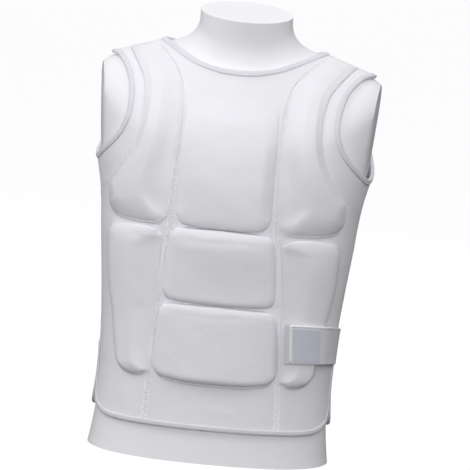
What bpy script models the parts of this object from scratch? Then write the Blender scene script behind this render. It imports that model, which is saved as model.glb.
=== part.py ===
"""Karate chest protector, worn on a limbless torso dress form.

+X is the wearer's left, -Y is the front and +Z is up. The form's flat base stands on z = 0 and
the origin is at the middle of that base. All sizes below are millimetres; add_object turns
them into metres.

The body is one smooth surface, found from a short table of sections, a shoulder ridge and a
neck. Each cloth piece is a wall between two offsets of that surface, cut out by its seams.
"""
import bmesh
import bpy
import numpy as np
from mathutils import Vector
from mathutils.geometry import delaunay_2d_cdt

MM = 0.001

# The form: height, half width, front depth and back depth of each level section.
FORM_SECTIONS = np.array((
    (-30.0, 172.0, 102.0, 113.0),
    (0.0, 165.0, 100.5, 109.0),
    (30.0, 160.5, 99.5, 103.0),
    (60.0, 157.5, 98.8, 96.5),
    (100.0, 154.6, 98.0, 89.0),
    (140.0, 155.2, 98.5, 85.0),
    (190.0, 157.8, 101.0, 87.0),
    (240.0, 162.2, 105.0, 93.5),
    (290.0, 167.2, 109.5, 100.5),
    (340.0, 171.8, 113.5, 107.0),
    (370.0, 176.8, 114.5, 109.5),
    (400.0, 184.0, 113.0, 110.0),
    (440.0, 192.0, 110.0, 109.0),
    (480.0, 197.0, 106.0, 106.0),
    (520.0, 200.0, 103.0, 103.0),
    (620.0, 200.0, 100.0, 100.0),
))
SECTION_POWER = 2.35
RIDGE_HEIGHT = 587.5
RIDGE_SLOPE = 0.345
RIDGE_ROUND = 30.0
RIDGE_RADIUS = 54.0
RIDGE_Y = 6.0
SHOULDER_BLEND = 24.0
NECK_HALF_WIDTH = 62.5
NECK_HALF_DEPTH = 60.0
NECK_LEAN = 0.24
NECK_BLEND = 30.0
NECK_ROOT = 515.0
NECK_ROOT_FADE = 0.8
SHOULDER_SCALE = 0.92
NECK_Y = -2.0
NECK_LEAN_FROM = 520.0
NECK_FLARE_TOP = 560.0
NECK_FLARE_SPAN = 60.0
NECK_FLARE_LIMIT = 2.0
NECK_FLARE_WIDTH = 5.0
NECK_FLARE_DEPTH = 4.0

# The torso is turned a little to the wearer's right, more so towards the chest.
TURN_DEGREES = 4.3
TURN_LOW = 50.0
TURN_HIGH = 420.0

# Flat cuts that end the form at the neck and the arms.
NECK_CUT_HEIGHT = 598.0
NECK_CUT_Y = -19.0
NECK_CUT_LEAN = 12.0
ARM_CUT_X = 183.0
ARM_CUT_HEIGHT = 455.0
ARM_CUT_LEAN = 3.8
ARM_CUT_FORWARD = 6.5
ARM_CUT_LOW = 300.0
FORM_EASE = 0.8
FORM_COLUMNS = 48
FORM_WALL_ROWS = 18
FORM_SHOULDER_ROWS = 13
FORM_SHOULDER_START = 0.70
FORM_SAMPLES_TO = 480.0
FORM_SAMPLES_TOP = 640.0

# Cloth thickness and the clearances between its layers, measured out from the form.
CLOTH_GAP = 1.6
CLOTH = 2.4
CLOTH_LOW = CLOTH_GAP
CLOTH_HIGH = CLOTH_GAP + CLOTH
SEAM_GAP = 0.3
LAYER_GAP = 0.5
PAD_GAP = 0.95
PAD_LOW = CLOTH_HIGH + PAD_GAP

# Bindings: cover thickness, depth over the cloth and clearance in the fold.
BINDING_WALL = 0.8
BINDING_DEPTH = 6.4
BINDING_CLEARANCE = 0.35
BINDING_TOP = 140.0
BOUND_ROW = 7.6
SEAM_ROW = 4.0

# How many cells each seam or edge is shared out into.
SEAM_CELLS = {
    "centre": 22, "arm_seam": 14, "arm_front": 14, "arm_back": 11, "neck_front": 8,
    "neck_back": 7, "vent": 6, "front_hem": 5, "centre_hem": 4, "back_hem": 12,
    "side_low": 8, "side_high": 3, "shoulder_neck": 1, "shoulder_pec": 2, "shoulder_yoke": 2,
}
BEND_SHARE = 0.7

# Points inside a panel: chart scale in mm a radian, and their spacing across and up.
CHART_RADIUS = 140.0
LATTICE_ACROSS = 22.0
LATTICE_UP = 28.0

# Seams and edges on the wearer's left: x, y, z of points on the cloth's outer face.
CENTRE_SEAM = np.array((
    (88.0, -90.0, 46.5), (87.5, -90.0, 75.0), (86.0, -90.0, 105.0), (84.5, -91.0, 135.0),
    (82.5, -92.0, 170.0), (79.5, -96.0, 205.0), (77.0, -99.0, 245.0), (73.5, -105.0, 281.0),
    (70.5, -109.0, 310.0), (69.0, -111.0, 350.0), (68.0, -112.0, 387.0), (66.0, -109.0, 420.0),
    (66.0, -103.0, 455.0), (68.5, -84.0, 487.0), (74.5, -72.0, 507.0), (85.0, -59.5, 523.0),
    (99.0, -41.5, 536.0), (113.0, -18.5, 544.0), (124.5, 6.0, 546.5),
))
ARMHOLE_SEAM = np.array((
    (175.5, 4.0, 338.0), (169.0, -38.0, 347.0), (157.0, -65.0, 358.0), (148.0, -77.0, 373.0),
    (138.0, -86.0, 389.0), (127.0, -93.0, 411.0), (119.5, -94.0, 438.0), (118.0, -88.0, 458.0),
    (119.0, -79.0, 480.0), (123.0, -67.0, 498.0), (132.0, -52.0, 513.0), (142.5, -33.0, 526.5),
    (150.5, -10.0, 535.0), (153.0, 6.0, 536.0),
))
ARMHOLE_FRONT = np.array((
    (188.0, 4.0, 394.0), (186.0, -20.0, 391.0), (181.0, -38.0, 394.0), (173.0, -54.0, 402.0),
    (162.0, -68.0, 413.0), (149.0, -80.0, 430.0), (141.0, -84.0, 449.0), (139.0, -78.0, 470.0),
    (142.0, -67.0, 490.0), (148.0, -54.0, 506.0), (156.5, -39.0, 518.0), (165.0, -23.0, 525.0),
    (173.0, -9.0, 528.0), (178.0, 6.0, 528.5),
))
ARMHOLE_BACK = np.array((
    (188.0, 4.0, 394.0), (186.0, 30.0, 403.0), (178.0, 52.0, 424.0), (169.0, 62.0, 452.0),
    (165.0, 61.0, 480.0), (167.0, 47.0, 505.0), (172.5, 26.0, 522.0), (178.0, 6.0, 528.5),
))
NECKLINE_FRONT = np.array((
    (107.0, 6.0, 553.0), (104.0, -7.5, 552.0), (94.0, -26.0, 547.5), (77.0, -45.5, 539.5),
    (50.0, -65.5, 528.5),
    (25.0, -75.0, 523.0), (0.0, -78.5, 521.5),
))
NECKLINE_BACK = np.array((
    (107.0, 6.0, 553.0), (103.5, 20.0, 551.0), (92.0, 36.0, 548.0), (70.0, 53.0, 544.5),
    (40.0, 64.0, 541.5),
    (0.0, 68.0, 540.5),
))
SIDE_SEAM = np.array((
    (156.0, -8.0, 160.0), (160.0, -4.0, 210.0), (167.0, 1.0, 270.0), (175.5, 4.0, 338.0),
    (188.0, 4.0, 394.0),
))
FRONT_VENT = np.array((
    (150.0, -29.0, 58.0), (155.0, -21.5, 72.0), (156.5, -18.0, 90.0), (157.0, -15.5, 112.0),
    (157.0, -12.5, 138.0), (156.0, -8.0, 160.0),
))
BACK_VENT = np.array((
    (161.5, 5.0, 54.0), (160.0, -2.5, 62.0), (158.5, -6.0, 78.0), (157.5, -8.0, 105.0),
    (157.0, -6.5, 138.0), (156.0, -8.0, 160.0),
))
FRONT_HEM = np.array((
    (88.0, -90.0, 46.5), (118.0, -75.0, 46.5), (140.0, -53.0, 48.5), (150.0, -29.0, 58.0),
))
CENTRE_HEM = np.array(((0.0, -103.0, 46.5), (45.0, -100.0, 46.5), (88.0, -90.0, 46.5)))
BACK_HEM = np.array((
    (161.5, 5.0, 54.0), (159.0, 22.0, 47.5), (140.0, 66.0, 46.0), (95.0, 93.0, 46.0),
    (45.0, 102.0, 46.0), (0.0, 104.0, 46.0),
))

# Pads: thickness, and how their edges round off: widths from the edge inwards.
PAD_THICKNESS = 9.0
PAD_RIM = 1.6
PAD_EDGE = 9.0
PAD_EDGE_INSETS = (0.0, 2.4, 9.0)
PAD_LIFT = 9.0

# Each pad's corner radius and its cells across and up, between the rounded edges.
CHEST_CORNER, CHEST_CELLS = 13.0, (6, 7)
UPPER_BELLY_CORNER, UPPER_BELLY_CELLS = 14.0, (7, 4)
LOWER_BELLY_CORNER, LOWER_BELLY_CELLS = 15.0, (8, 4)
PEC_CORNER, PEC_CELLS = 14.0, (4, 11)
SIDE_CORNER, SIDE_CELLS = 13.0, (3, 8)

# Pad borders on the wearer's left: x and z seen from the front.
CHEST_BOTTOM = ((0.0, 318.5), (44.0, 320.0), (62.0, 323.5))
CHEST_SIDE = ((62.0, 323.5), (62.5, 360.0), (63.0, 400.0), (62.0, 440.0), (58.0, 480.0))
CHEST_TOP = ((0.0, 481.0), (58.0, 480.0))
UPPER_BELLY_BOTTOM = ((0.0, 217.0), (50.0, 218.0), (75.0, 220.0))
UPPER_BELLY_SIDE = ((75.0, 220.0), (74.0, 250.0), (71.5, 285.0), (68.0, 312.0))
UPPER_BELLY_TOP = ((0.0, 314.0), (68.0, 312.0))
LOWER_BELLY_BOTTOM = ((0.0, 105.5), (44.0, 106.5), (83.0, 113.5))
LOWER_BELLY_SIDE = ((83.0, 113.5), (82.5, 140.0), (80.5, 172.0), (77.5, 210.0))
LOWER_BELLY_TOP = ((0.0, 211.5), (77.5, 210.0))
SIDE_PAD_INNER = ((90.5, 112.0), (89.5, 160.0), (87.5, 220.0), (83.0, 307.0))
SIDE_PAD_OUTER = ((131.5, 115.5), (137.5, 150.0), (146.0, 200.0), (153.5, 235.0), (157.0, 304.0))
SIDE_PAD_BOTTOM = ((90.5, 112.0), (110.0, 109.5), (131.5, 115.5))
SIDE_PAD_TOP = ((83.0, 307.0), (120.0, 308.5), (157.0, 304.0))
PEC_BOTTOM = ((77.0, 318.0), (105.0, 316.5), (135.0, 318.0), (159.0, 326.0))
PEC_SIDE_LOW = ((159.0, 326.0), (157.0, 348.0))
PEC_INSET_INNER = 8.0
PEC_INSET_OUTER = 5.0
PEC_INNER_START = 12.0
PEC_INNER_END = -36.0
PEC_STRIDE = 6
PEC_TOP_CORNER = ((116.0, -4.0, 550.0),)
PEC_OUTER_START = 151.0
PEC_OUTER_END = -6.0
PEC_TOP_THICKNESS = 2.6
PEC_THIN_LOW = 455.0
PEC_THIN_HIGH = 525.0

# The side strap: heights of its middle line by turn from the front, in degrees. Its ends lean a
# little, by the skew at the top edge and as much the other way at the bottom edge.
STRAP_LINE = np.array((
    (40.0, 172.0), (55.0, 171.5), (68.0, 168.5), (80.0, 163.5), (92.0, 158.5), (110.0, 152.5),
    (130.0, 148.0),
))
STRAP_WIDTH = 50.0
STRAP_ROWS = 5
STRAP_COLUMNS, PATCH_COLUMNS, LANDING_COLUMNS = 22, 7, 6
STRAP_START = 45.0
STRAP_END = 127.0
STRAP_SKEW = 1.0
STRAP_LEAVES_PAD = 62.5
STRAP_MEETS_CLOTH = 88.0
STRAP_PAST_BINDING = 92.0
STRAP_ON_CLOTH = 102.0
STRAP_THICKNESS = 1.6
LANDING_START = 42.5
LANDING_END = 54.5
LANDING_THICKNESS = 1.0
LANDING_MARGIN = 2.0
LANDING_CLEARANCE = 1.1
STRAP_PAD_LOW = PAD_LOW + PAD_THICKNESS + LANDING_THICKNESS + LANDING_CLEARANCE
PATCH_START = 46.6
PATCH_END = 60.3
PATCH_THICKNESS = 0.9
PATCH_MARGIN = 3.1


def table_value(z, table, column):
    """Smooth value of one column of a table whose first column is height."""
    heights, values = table[:, 0], table[:, column]
    z = np.clip(z, heights[0], heights[-1] - 1e-6)
    row = np.clip(np.searchsorted(heights, z, side="right") - 1, 0, len(heights) - 2)
    slopes = np.gradient(values, heights)
    span = heights[row + 1] - heights[row]
    u = (z - heights[row]) / span
    start = (2 * u**3 - 3 * u**2 + 1) * values[row] + (u**3 - 2 * u**2 + u) * span * slopes[row]
    end = (3 * u**2 - 2 * u**3) * values[row + 1] + (u**3 - u**2) * span * slopes[row + 1]
    return start + end


def smooth_max(a, b, width):
    """Larger of two values, blended over a width where they are close."""
    mix = np.clip(0.5 + 0.5 * (a - b) / width, 0.0, 1.0)
    return b + (a - b) * mix + width * mix * (1.0 - mix)


def body_value(points):
    """Roughly the distance of points outside the form's surface, negative inside."""
    x, y, z = points[..., 0], points[..., 1], points[..., 2]
    half_width = table_value(z, FORM_SECTIONS, 1)
    front = table_value(z, FORM_SECTIONS, 2) + RIDGE_Y
    back = table_value(z, FORM_SECTIONS, 3) - RIDGE_Y
    depth = np.where(y < RIDGE_Y, front, back)
    ratio_x = (np.abs(x) / half_width) ** SECTION_POWER
    ratio_y = (np.abs(y - RIDGE_Y) / depth) ** SECTION_POWER
    wall = ((ratio_x + ratio_y) ** (1.0 / SECTION_POWER) - 1.0) * np.sqrt(half_width * depth)
    ridge = RIDGE_HEIGHT - RIDGE_SLOPE * np.sqrt(x * x + RIDGE_ROUND**2)
    top = (z - ridge + (y - RIDGE_Y) ** 2 / (2.0 * RIDGE_RADIUS)) * SHOULDER_SCALE
    torso = smooth_max(wall, top, SHOULDER_BLEND)
    flare = np.clip((NECK_FLARE_TOP - z) / NECK_FLARE_SPAN, 0.0, NECK_FLARE_LIMIT)
    neck_y = NECK_Y - NECK_LEAN * (z - NECK_LEAN_FROM)
    across = x / (NECK_HALF_WIDTH + NECK_FLARE_WIDTH * flare**2)
    along = (y - neck_y) / (NECK_HALF_DEPTH + NECK_FLARE_DEPTH * flare)
    neck = (np.sqrt(across**2 + along**2) - 1.0) * NECK_HALF_WIDTH
    neck = neck + NECK_ROOT_FADE * np.maximum(NECK_ROOT - z, 0.0)
    return -smooth_max(-torso, -neck, NECK_BLEND)


def body_slope(points):
    """Gradient of body_value by small differences."""
    step = 0.2
    columns = []
    for axis in np.eye(3):
        ahead, behind = body_value(points + axis * step), body_value(points - axis * step)
        columns.append((ahead - behind) / (2.0 * step))
    return np.stack(columns, axis=-1)


def unit(vectors):
    """Vectors scaled to length one."""
    return vectors / np.linalg.norm(vectors, axis=-1, keepdims=True)


def normals_at(points):
    """Outward unit normals of the form's surface."""
    return unit(body_slope(points))


def settle(points):
    """Nearest points on the form's surface."""
    points = np.array(points, dtype=float)
    for _ in range(7):
        slope = body_slope(points)
        value = body_value(points)[..., None]
        points = points - slope * value / np.sum(slope * slope, axis=-1, keepdims=True)
    return points


def front_points(outline, lift=PAD_LIFT):
    """Surface points under a border given as x and z seen from the front."""
    outline = np.array(outline, dtype=float)
    low = np.full(len(outline), -190.0)
    high = np.full(len(outline), RIDGE_Y)
    for _ in range(30):
        middle = 0.5 * (low + high)
        outside = body_value(np.stack([outline[:, 0], middle, outline[:, 1]], axis=-1)) > lift
        low, high = np.where(outside, middle, low), np.where(outside, high, middle)
    return settle(np.stack([outline[:, 0], high, outline[:, 1]], axis=-1))


def turned_points(turns, heights, level=0.0):
    """Points at a turn from the front, in degrees towards +X, a height and a field level."""
    angle = np.radians(turns)
    low, high = np.zeros_like(angle), np.full_like(angle, 290.0)
    for _ in range(30):
        middle = 0.5 * (low + high)
        at = np.stack([middle * np.sin(angle), RIDGE_Y - middle * np.cos(angle), heights], axis=-1)
        inside = body_value(at) < level
        low, high = np.where(inside, middle, low), np.where(inside, high, middle)
    return np.stack([high * np.sin(angle), RIDGE_Y - high * np.cos(angle), heights], axis=-1)


def lengths_along(curve):
    """Running length of a polyline, from 0 to 1."""
    steps = np.linalg.norm(np.diff(curve, axis=0), axis=1)
    total = np.concatenate([[0.0], np.cumsum(steps)])
    return total / total[-1]


def smooth_curve(points, count=160):
    """Dense smooth curve on the form's surface through a few points."""
    points = settle(points)
    knots = lengths_along(points)
    fine = np.linspace(0.0, 1.0, count)
    table = np.column_stack([knots, points])
    curve = np.stack([table_value(fine, table, axis) for axis in (1, 2, 3)], axis=-1)
    curve[-1] = points[-1]
    return settle(curve)


def along(curve, fractions):
    """Points of a polyline at fractions of its length."""
    knots = lengths_along(curve)
    return np.stack([np.interp(fractions, knots, curve[:, axis]) for axis in range(3)], axis=-1)


def mirrored(points):
    """The same points on the wearer's right."""
    return points * np.array((-1.0, 1.0, 1.0))


def whole(half_curve):
    """Curve from the wearer's right to the left, from a half that runs out to the left."""
    return np.concatenate([mirrored(half_curve[::-1]), half_curve[1:]])


def coons(bottom, top, left, right, u, v):
    """Point of the blend between four borders; u and v may be arrays of any one shape."""
    u, v = np.asarray(u), np.asarray(v)
    shape = u.shape + (3,)
    b, t = along(bottom, u.ravel()).reshape(shape), along(top, u.ravel()).reshape(shape)
    le, ri = along(left, v.ravel()).reshape(shape), along(right, v.ravel()).reshape(shape)
    u, v = u[..., None], v[..., None]
    corners = (1 - u) * (1 - v) * bottom[0] + u * (1 - v) * bottom[-1]
    corners = corners + (1 - u) * v * top[0] + u * v * top[-1]
    return settle((1 - v) * b + v * t + (1 - u) * le + u * ri - corners)


def border_indices(rows, columns):
    """Row and column of each border point, anticlockwise from the bottom left corner."""
    ring = [(0, j) for j in range(columns)]
    ring += [(i, columns - 1) for i in range(1, rows)]
    ring += [(rows - 1, j) for j in range(columns - 2, -1, -1)]
    ring += [(i, 0) for i in range(rows - 2, 0, -1)]
    return ring


def drawn_in(border, distances):
    """Closed border moved into its panel, by a distance for each side that leaves a point."""
    normal = normals_at(border)
    ahead = unit(np.roll(border, -1, axis=0) - border)
    behind = np.roll(ahead, 1, axis=0)
    inward, inward_before = unit(np.cross(normal, ahead)), unit(np.cross(normal, behind))
    near, near_before = distances[:, None], np.roll(distances, 1)[:, None]
    overlap = np.sum(inward * inward_before, axis=1, keepdims=True)
    open_corner = np.maximum(1.0 - overlap**2, 1e-3)
    mitre = ((near - overlap * near_before) * inward
             + (near_before - overlap * near) * inward_before) / open_corner
    straight = (inward + inward_before) / (1.0 + overlap) * 0.5 * (near + near_before)
    return settle(border + np.where(open_corner < 0.05, straight, mitre))


class Chart:
    """Flat chart of the surface: turn from the front, and length up along that turn."""

    STEP_TURN = 3.0
    STEP_HEIGHT = 3.0

    def __init__(self):
        self.turns = np.arange(0.0, 180.0 + self.STEP_TURN, self.STEP_TURN)
        self.heights = np.arange(0.0, 606.0, self.STEP_HEIGHT)
        points = turned_points(*np.meshgrid(self.turns, self.heights, indexing="ij"))
        steps = np.linalg.norm(np.diff(points, axis=1), axis=2)
        start = np.zeros((len(self.turns), 1))
        self.lengths = np.concatenate([start, np.cumsum(steps, axis=1)], axis=1)

    def meridian(self, turn):
        """Running length at each table height, along one turn."""
        turn = 180.0 - abs(180.0 - turn % 360.0)
        at = min(turn / self.STEP_TURN, len(self.turns) - 1.001)
        row, share = int(at), at - int(at)
        return (1.0 - share) * self.lengths[row] + share * self.lengths[row + 1]

    def flatten(self, points, behind):
        """Chart positions of surface points; behind is true for a panel of the back."""
        turns = np.degrees(np.arctan2(points[:, 0], RIDGE_Y - points[:, 1]))
        if behind:
            turns = turns % 360.0
        lengths = [np.interp(z, self.heights, self.meridian(turn))
                   for turn, z in zip(turns, points[:, 2])]
        return np.stack([np.radians(turns) * CHART_RADIUS, lengths], axis=-1)

    def lift(self, places):
        """Surface points at chart positions."""
        turns = np.degrees(places[:, 0] / CHART_RADIUS)
        heights = [np.interp(length, self.meridian(turn), self.heights)
                   for turn, length in zip(turns, places[:, 1])]
        return settle(turned_points(turns, np.array(heights)))


def room_inside(place, ring):
    """Distance of a chart position from a closed ring around it, or 0 where it is outside."""
    ahead = np.roll(ring, -1, axis=0)
    side = ahead - ring
    share = np.sum((place - ring) * side, axis=1) / np.maximum(np.sum(side * side, axis=1), 1e-9)
    foot = ring + side * np.clip(share, 0.0, 1.0)[:, None]
    crosses = (ring[:, 1] > place[1]) != (ahead[:, 1] > place[1])
    rise = np.where(crosses, side[:, 1], 1.0)
    at = ring[:, 0] + (place[1] - ring[:, 1]) / rise * side[:, 0]
    inside = np.sum(crosses & (at > place[0])) % 2 == 1
    return np.linalg.norm(place - foot, axis=1).min() if inside else 0.0


class Panel:
    """Cloth panel: its border, a strip just inside it, and triangles over its middle."""

    def __init__(self, chart, behind, middle, *sides):
        """sides are pairs of a curve and the width of the strip along it, anticlockwise."""
        border = np.concatenate([curve[:-1] for curve, _ in sides])
        width = np.concatenate([np.full(len(curve) - 1, strip) for curve, strip in sides])
        counts = [len(curve) - 1 for curve, _ in sides]
        self.starts = np.concatenate([[0], np.cumsum(counts)])
        self.border = drawn_in(border, np.full(len(border), SEAM_GAP * 0.5))
        self.ring = drawn_in(self.border, width)
        flat_ring = chart.flatten(self.ring, behind)
        places = self.lattice(flat_ring, np.radians(middle) * CHART_RADIUS)
        self.points = np.concatenate([self.border, self.ring, chart.lift(places)])
        self.faces = self.strip_faces() + self.middle_faces(np.concatenate([flat_ring, places]))

    @staticmethod
    def lattice(ring, middle):
        """Chart positions spread inside a ring, evenly about the panel's middle."""
        low, high = ring.min(axis=0), ring.max(axis=0)
        reach = int(max(high[0] - middle, middle - low[0]) / LATTICE_ACROSS) + 1
        columns = middle + np.arange(-reach, reach + 1) * LATTICE_ACROSS
        rows = np.arange(low[1], high[1], LATTICE_UP)
        places = [np.array((x, y)) for y in rows for x in columns]
        room = 0.45 * LATTICE_ACROSS
        return np.array([place for place in places if room_inside(place, ring) > room]
                        or [ring.mean(axis=0)])

    def strip_faces(self):
        """Triangles between the border and the ring inside it."""
        count = len(self.border)
        faces = []
        for here in range(count):
            ahead = (here + 1) % count
            faces += [(here, ahead, count + ahead), (here, count + ahead, count + here)]
        return faces

    def middle_faces(self, places):
        """Triangles inside the ring."""
        count = len(self.ring)
        flat = [Vector(place) for place in places]
        made = delaunay_2d_cdt(flat, [], [list(range(count))], 1, 1e-6)
        source = [origin[0] for origin in made[3]]
        return [tuple(count + source[corner] for corner in face) for face in made[2]]

    def mesh(self):
        """Closed wall of cloth."""
        normal = normals_at(self.points)
        under = len(self.points)
        points = np.concatenate([self.points + normal * CLOTH_HIGH,
                                 self.points + normal * CLOTH_LOW])
        faces = list(self.faces)
        faces += [(under + c, under + b, under + a) for a, b, c in self.faces]
        count = len(self.border)
        for a in range(count):
            b = (a + 1) % count
            faces += [(a, under + a, under + b), (a, under + b, b)]
        return points, faces

    def run(self, first, last):
        """Run of cloth edge from the start of one side to the end of another."""
        index = np.arange(self.starts[first], self.starts[last + 1] + 1) % len(self.border)
        return Edge(self.border[index], self.ring[index])


def wall_mesh(grid, low, high):
    """Closed wall over a grid of surface points, between two offsets along its normals."""
    rows, columns = grid.shape[:2]
    normal = normals_at(grid)
    high = np.broadcast_to(np.asarray(high, dtype=float), (rows, columns))[..., None]
    low = np.broadcast_to(np.asarray(low, dtype=float), (rows, columns))[..., None]
    points = np.concatenate([(grid + normal * high).reshape(-1, 3),
                             (grid + normal * low).reshape(-1, 3)])
    under = rows * columns
    faces = []
    for i in range(rows - 1):
        for j in range(columns - 1):
            a = i * columns + j
            b, c, d = a + 1, a + columns + 1, a + columns
            faces += [(a, b, c), (a, c, d)]
            faces += [(under + c, under + b, under + a), (under + d, under + c, under + a)]
    ring = [i * columns + j for i, j in border_indices(rows, columns)]
    for a, b in zip(ring, ring[1:] + ring[:1]):
        faces += [(a, under + a, under + b), (a, under + b, b)]
    return points, faces


def mirrored_mesh(mesh):
    """Mesh on the wearer's right from one on the left, with its faces still pointing out."""
    points, faces = mesh
    return mirrored(points), [face[::-1] for face in faces]


def rounded_cells(width, height, corner, cells_across, cells_up):
    """Grid over a rectangle with round corners: fractions u and v, and each point's inset."""
    half = np.array((width, height)) * 0.5
    insets = np.array(PAD_EDGE_INSETS)

    def stations(length, cells):
        inner = np.linspace(insets[-1], 2.0 * length - insets[-1], cells + 1)
        return np.concatenate([insets[:-1], inner, (2.0 * length - insets[:-1])[::-1]]) - length

    across, up = stations(half[0], cells_across), stations(half[1], cells_up)
    x, z = np.meshgrid(across, up)
    inset = np.minimum(half[0] - np.abs(x), half[1] - np.abs(z))
    level = np.minimum(inset, insets[-1])
    box = half - level[..., None]
    scale = np.maximum(np.abs(x) / box[..., 0], np.abs(z) / box[..., 1])
    scale = np.maximum(scale, 1e-9)
    radius = np.maximum(corner - level, 1.0)
    unit_x, unit_z = x / (box[..., 0] * scale), z / (box[..., 1] * scale)
    bend_x = 1.0 - radius / box[..., 0]
    bend_z = 1.0 - radius / box[..., 1]
    turn_z = np.clip((np.abs(unit_z) - bend_z) / (1.0 - bend_z), 0.0, 1.0) * np.pi / 4.0
    turn_x = np.clip((np.abs(unit_x) - bend_x) / (1.0 - bend_x), 0.0, 1.0) * np.pi / 4.0
    on_side = np.abs(unit_x) > 1.0 - 1e-9
    angle = np.where(on_side, turn_z, np.pi / 2.0 - turn_x)
    round_x = np.where(on_side | (turn_x > 0.0), bend_x + (1 - bend_x) * np.cos(angle),
                       np.abs(unit_x))
    round_z = np.where(~on_side | (turn_z > 0.0), bend_z + (1 - bend_z) * np.sin(angle),
                       np.abs(unit_z))
    x = np.sign(x) * round_x * scale * box[..., 0]
    z = np.sign(z) * round_z * scale * box[..., 1]
    return 0.5 + x / width, 0.5 + z / height, inset


def pad_height(inset, thickness):
    """Height of a pad's top over its underside, rounded off towards its edge."""
    into = 1.0 - np.clip(inset / PAD_EDGE, 0.0, 1.0)
    return PAD_RIM + (thickness - PAD_RIM) * np.sqrt(np.maximum(1.0 - into**2.4, 0.0))


def length_of(curve):
    """Length of a polyline."""
    return np.linalg.norm(np.diff(curve, axis=0), axis=1).sum()


def pad_mesh(bottom, top, left, right, corner, cells, thickness):
    """Raised pad inside four borders; thickness may be a function of height."""
    u, v, inset = rounded_cells(length_of(bottom), length_of(left), corner, *cells)
    grid = coons(bottom, top, left, right, u, v)
    depth = thickness(grid[..., 2]) if callable(thickness) else thickness
    return wall_mesh(grid, PAD_LOW, PAD_LOW + pad_height(inset, depth))


def edge_direction(edge, closed):
    """Unit direction along a run at each point, the same for the two points at a seam."""
    ahead, behind = np.roll(edge, -1, axis=0) - edge, edge - np.roll(edge, 1, axis=0)
    beyond, before = np.roll(edge, -2, axis=0) - edge, edge - np.roll(edge, 2, axis=0)
    at_seam = np.linalg.norm(ahead, axis=1) < 2.0 * SEAM_GAP
    ahead[at_seam] = beyond[at_seam]
    past_seam = np.roll(at_seam, 1)
    behind[past_seam] = before[past_seam]
    if not closed:
        ahead[-1], behind[0] = behind[-1], ahead[0]
    return unit(unit(ahead) + unit(behind))


def binding_mesh(edge, inner, leans, closed):
    """Folded strip around a cloth edge, made from the cloth's own points moved out.

    edge holds the cloth's edge points, inner the next cloth points in from it, and leans says
    for each point whether the cloth's own diagonal runs from the edge to the inner points.
    """
    normal, inner_normal = normals_at(edge), normals_at(inner)
    into = unit(np.cross(normal, edge_direction(edge, closed)))
    share = BINDING_DEPTH / BOUND_ROW
    deep_normal = unit((1.0 - share) * normal + share * inner_normal)

    def at(lift, clearance, deep):
        """Section corner on one face of the cloth: at its edge or deep over it."""
        if deep:
            near, far = edge + normal * lift, inner + inner_normal * lift
            return (1.0 - share) * near + share * far + deep_normal * clearance
        return edge + normal * (lift + clearance) - into * abs(clearance)

    slot, outer = BINDING_CLEARANCE, BINDING_CLEARANCE + BINDING_WALL
    section = (
        at(CLOTH_HIGH, outer, True), at(CLOTH_HIGH, outer, False),
        at(CLOTH_LOW, -outer, False), at(CLOTH_LOW, -outer, True),
        at(CLOTH_LOW, -slot, True), at(CLOTH_LOW, -slot, False),
        at(CLOTH_HIGH, slot, False), at(CLOTH_HIGH, slot, True),
    )
    points = np.stack(section, axis=1).reshape(-1, 3)
    return points, binding_faces(len(edge), leans, closed)


def binding_faces(stations, leans, closed):
    """Triangles of a binding, split along the same diagonals as the cloth under it."""
    deep = (True, False, False, True, True, False, False, True)
    sides = len(deep)
    faces = []
    for i in range(stations if closed else stations - 1):
        here, ahead = i * sides, ((i + 1) % stations) * sides
        for k in range(sides):
            m = (k + 1) % sides
            deepens = deep[m] and not deep[k]
            if deepens == bool(leans[i]):
                faces += [(here + k, here + m, ahead + m), (here + k, ahead + m, ahead + k)]
            else:
                faces += [(here + k, here + m, ahead + k), (here + m, ahead + m, ahead + k)]
    if not closed:
        faces.append(tuple(range(sides))[::-1])
        faces.append(tuple((stations - 1) * sides + k for k in range(sides)))
    return faces


def posed(points):
    """Points after the torso's turn about the vertical."""
    share = np.clip((points[:, 2] - TURN_LOW) / (TURN_HIGH - TURN_LOW), 0.0, 1.0)
    angle = np.radians(TURN_DEGREES) * share * share * (3.0 - 2.0 * share)
    cos, sin = np.cos(angle), np.sin(angle)
    x, y, z = points.T
    return np.stack([cos * x + sin * y, cos * y - sin * x, z], axis=-1)


def material(name, colour, roughness, sheen=0.0):
    """Principled material with a linear colour."""
    made = bpy.data.materials.new(name)
    made.use_nodes = True
    shader = made.node_tree.nodes["Principled BSDF"]
    shader.inputs["Base Color"].default_value = (*colour, 1.0)
    shader.inputs["Roughness"].default_value = roughness
    shader.inputs["Sheen Weight"].default_value = sheen
    shader.inputs["Metallic"].default_value = 0.0
    return made


def add_object(name, mesh, made_of):
    """Object in metres from a mesh in millimetres, posed with the torso."""
    points, faces = mesh
    data = bpy.data.meshes.new(name)
    data.from_pydata((posed(points) * MM).tolist(), [], faces)
    data.shade_smooth()
    data.set_sharp_from_angle(angle=0.7)
    data.materials.append(made_of)
    item = bpy.data.objects.new(name, data)
    bpy.context.collection.objects.link(item)
    return item


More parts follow.
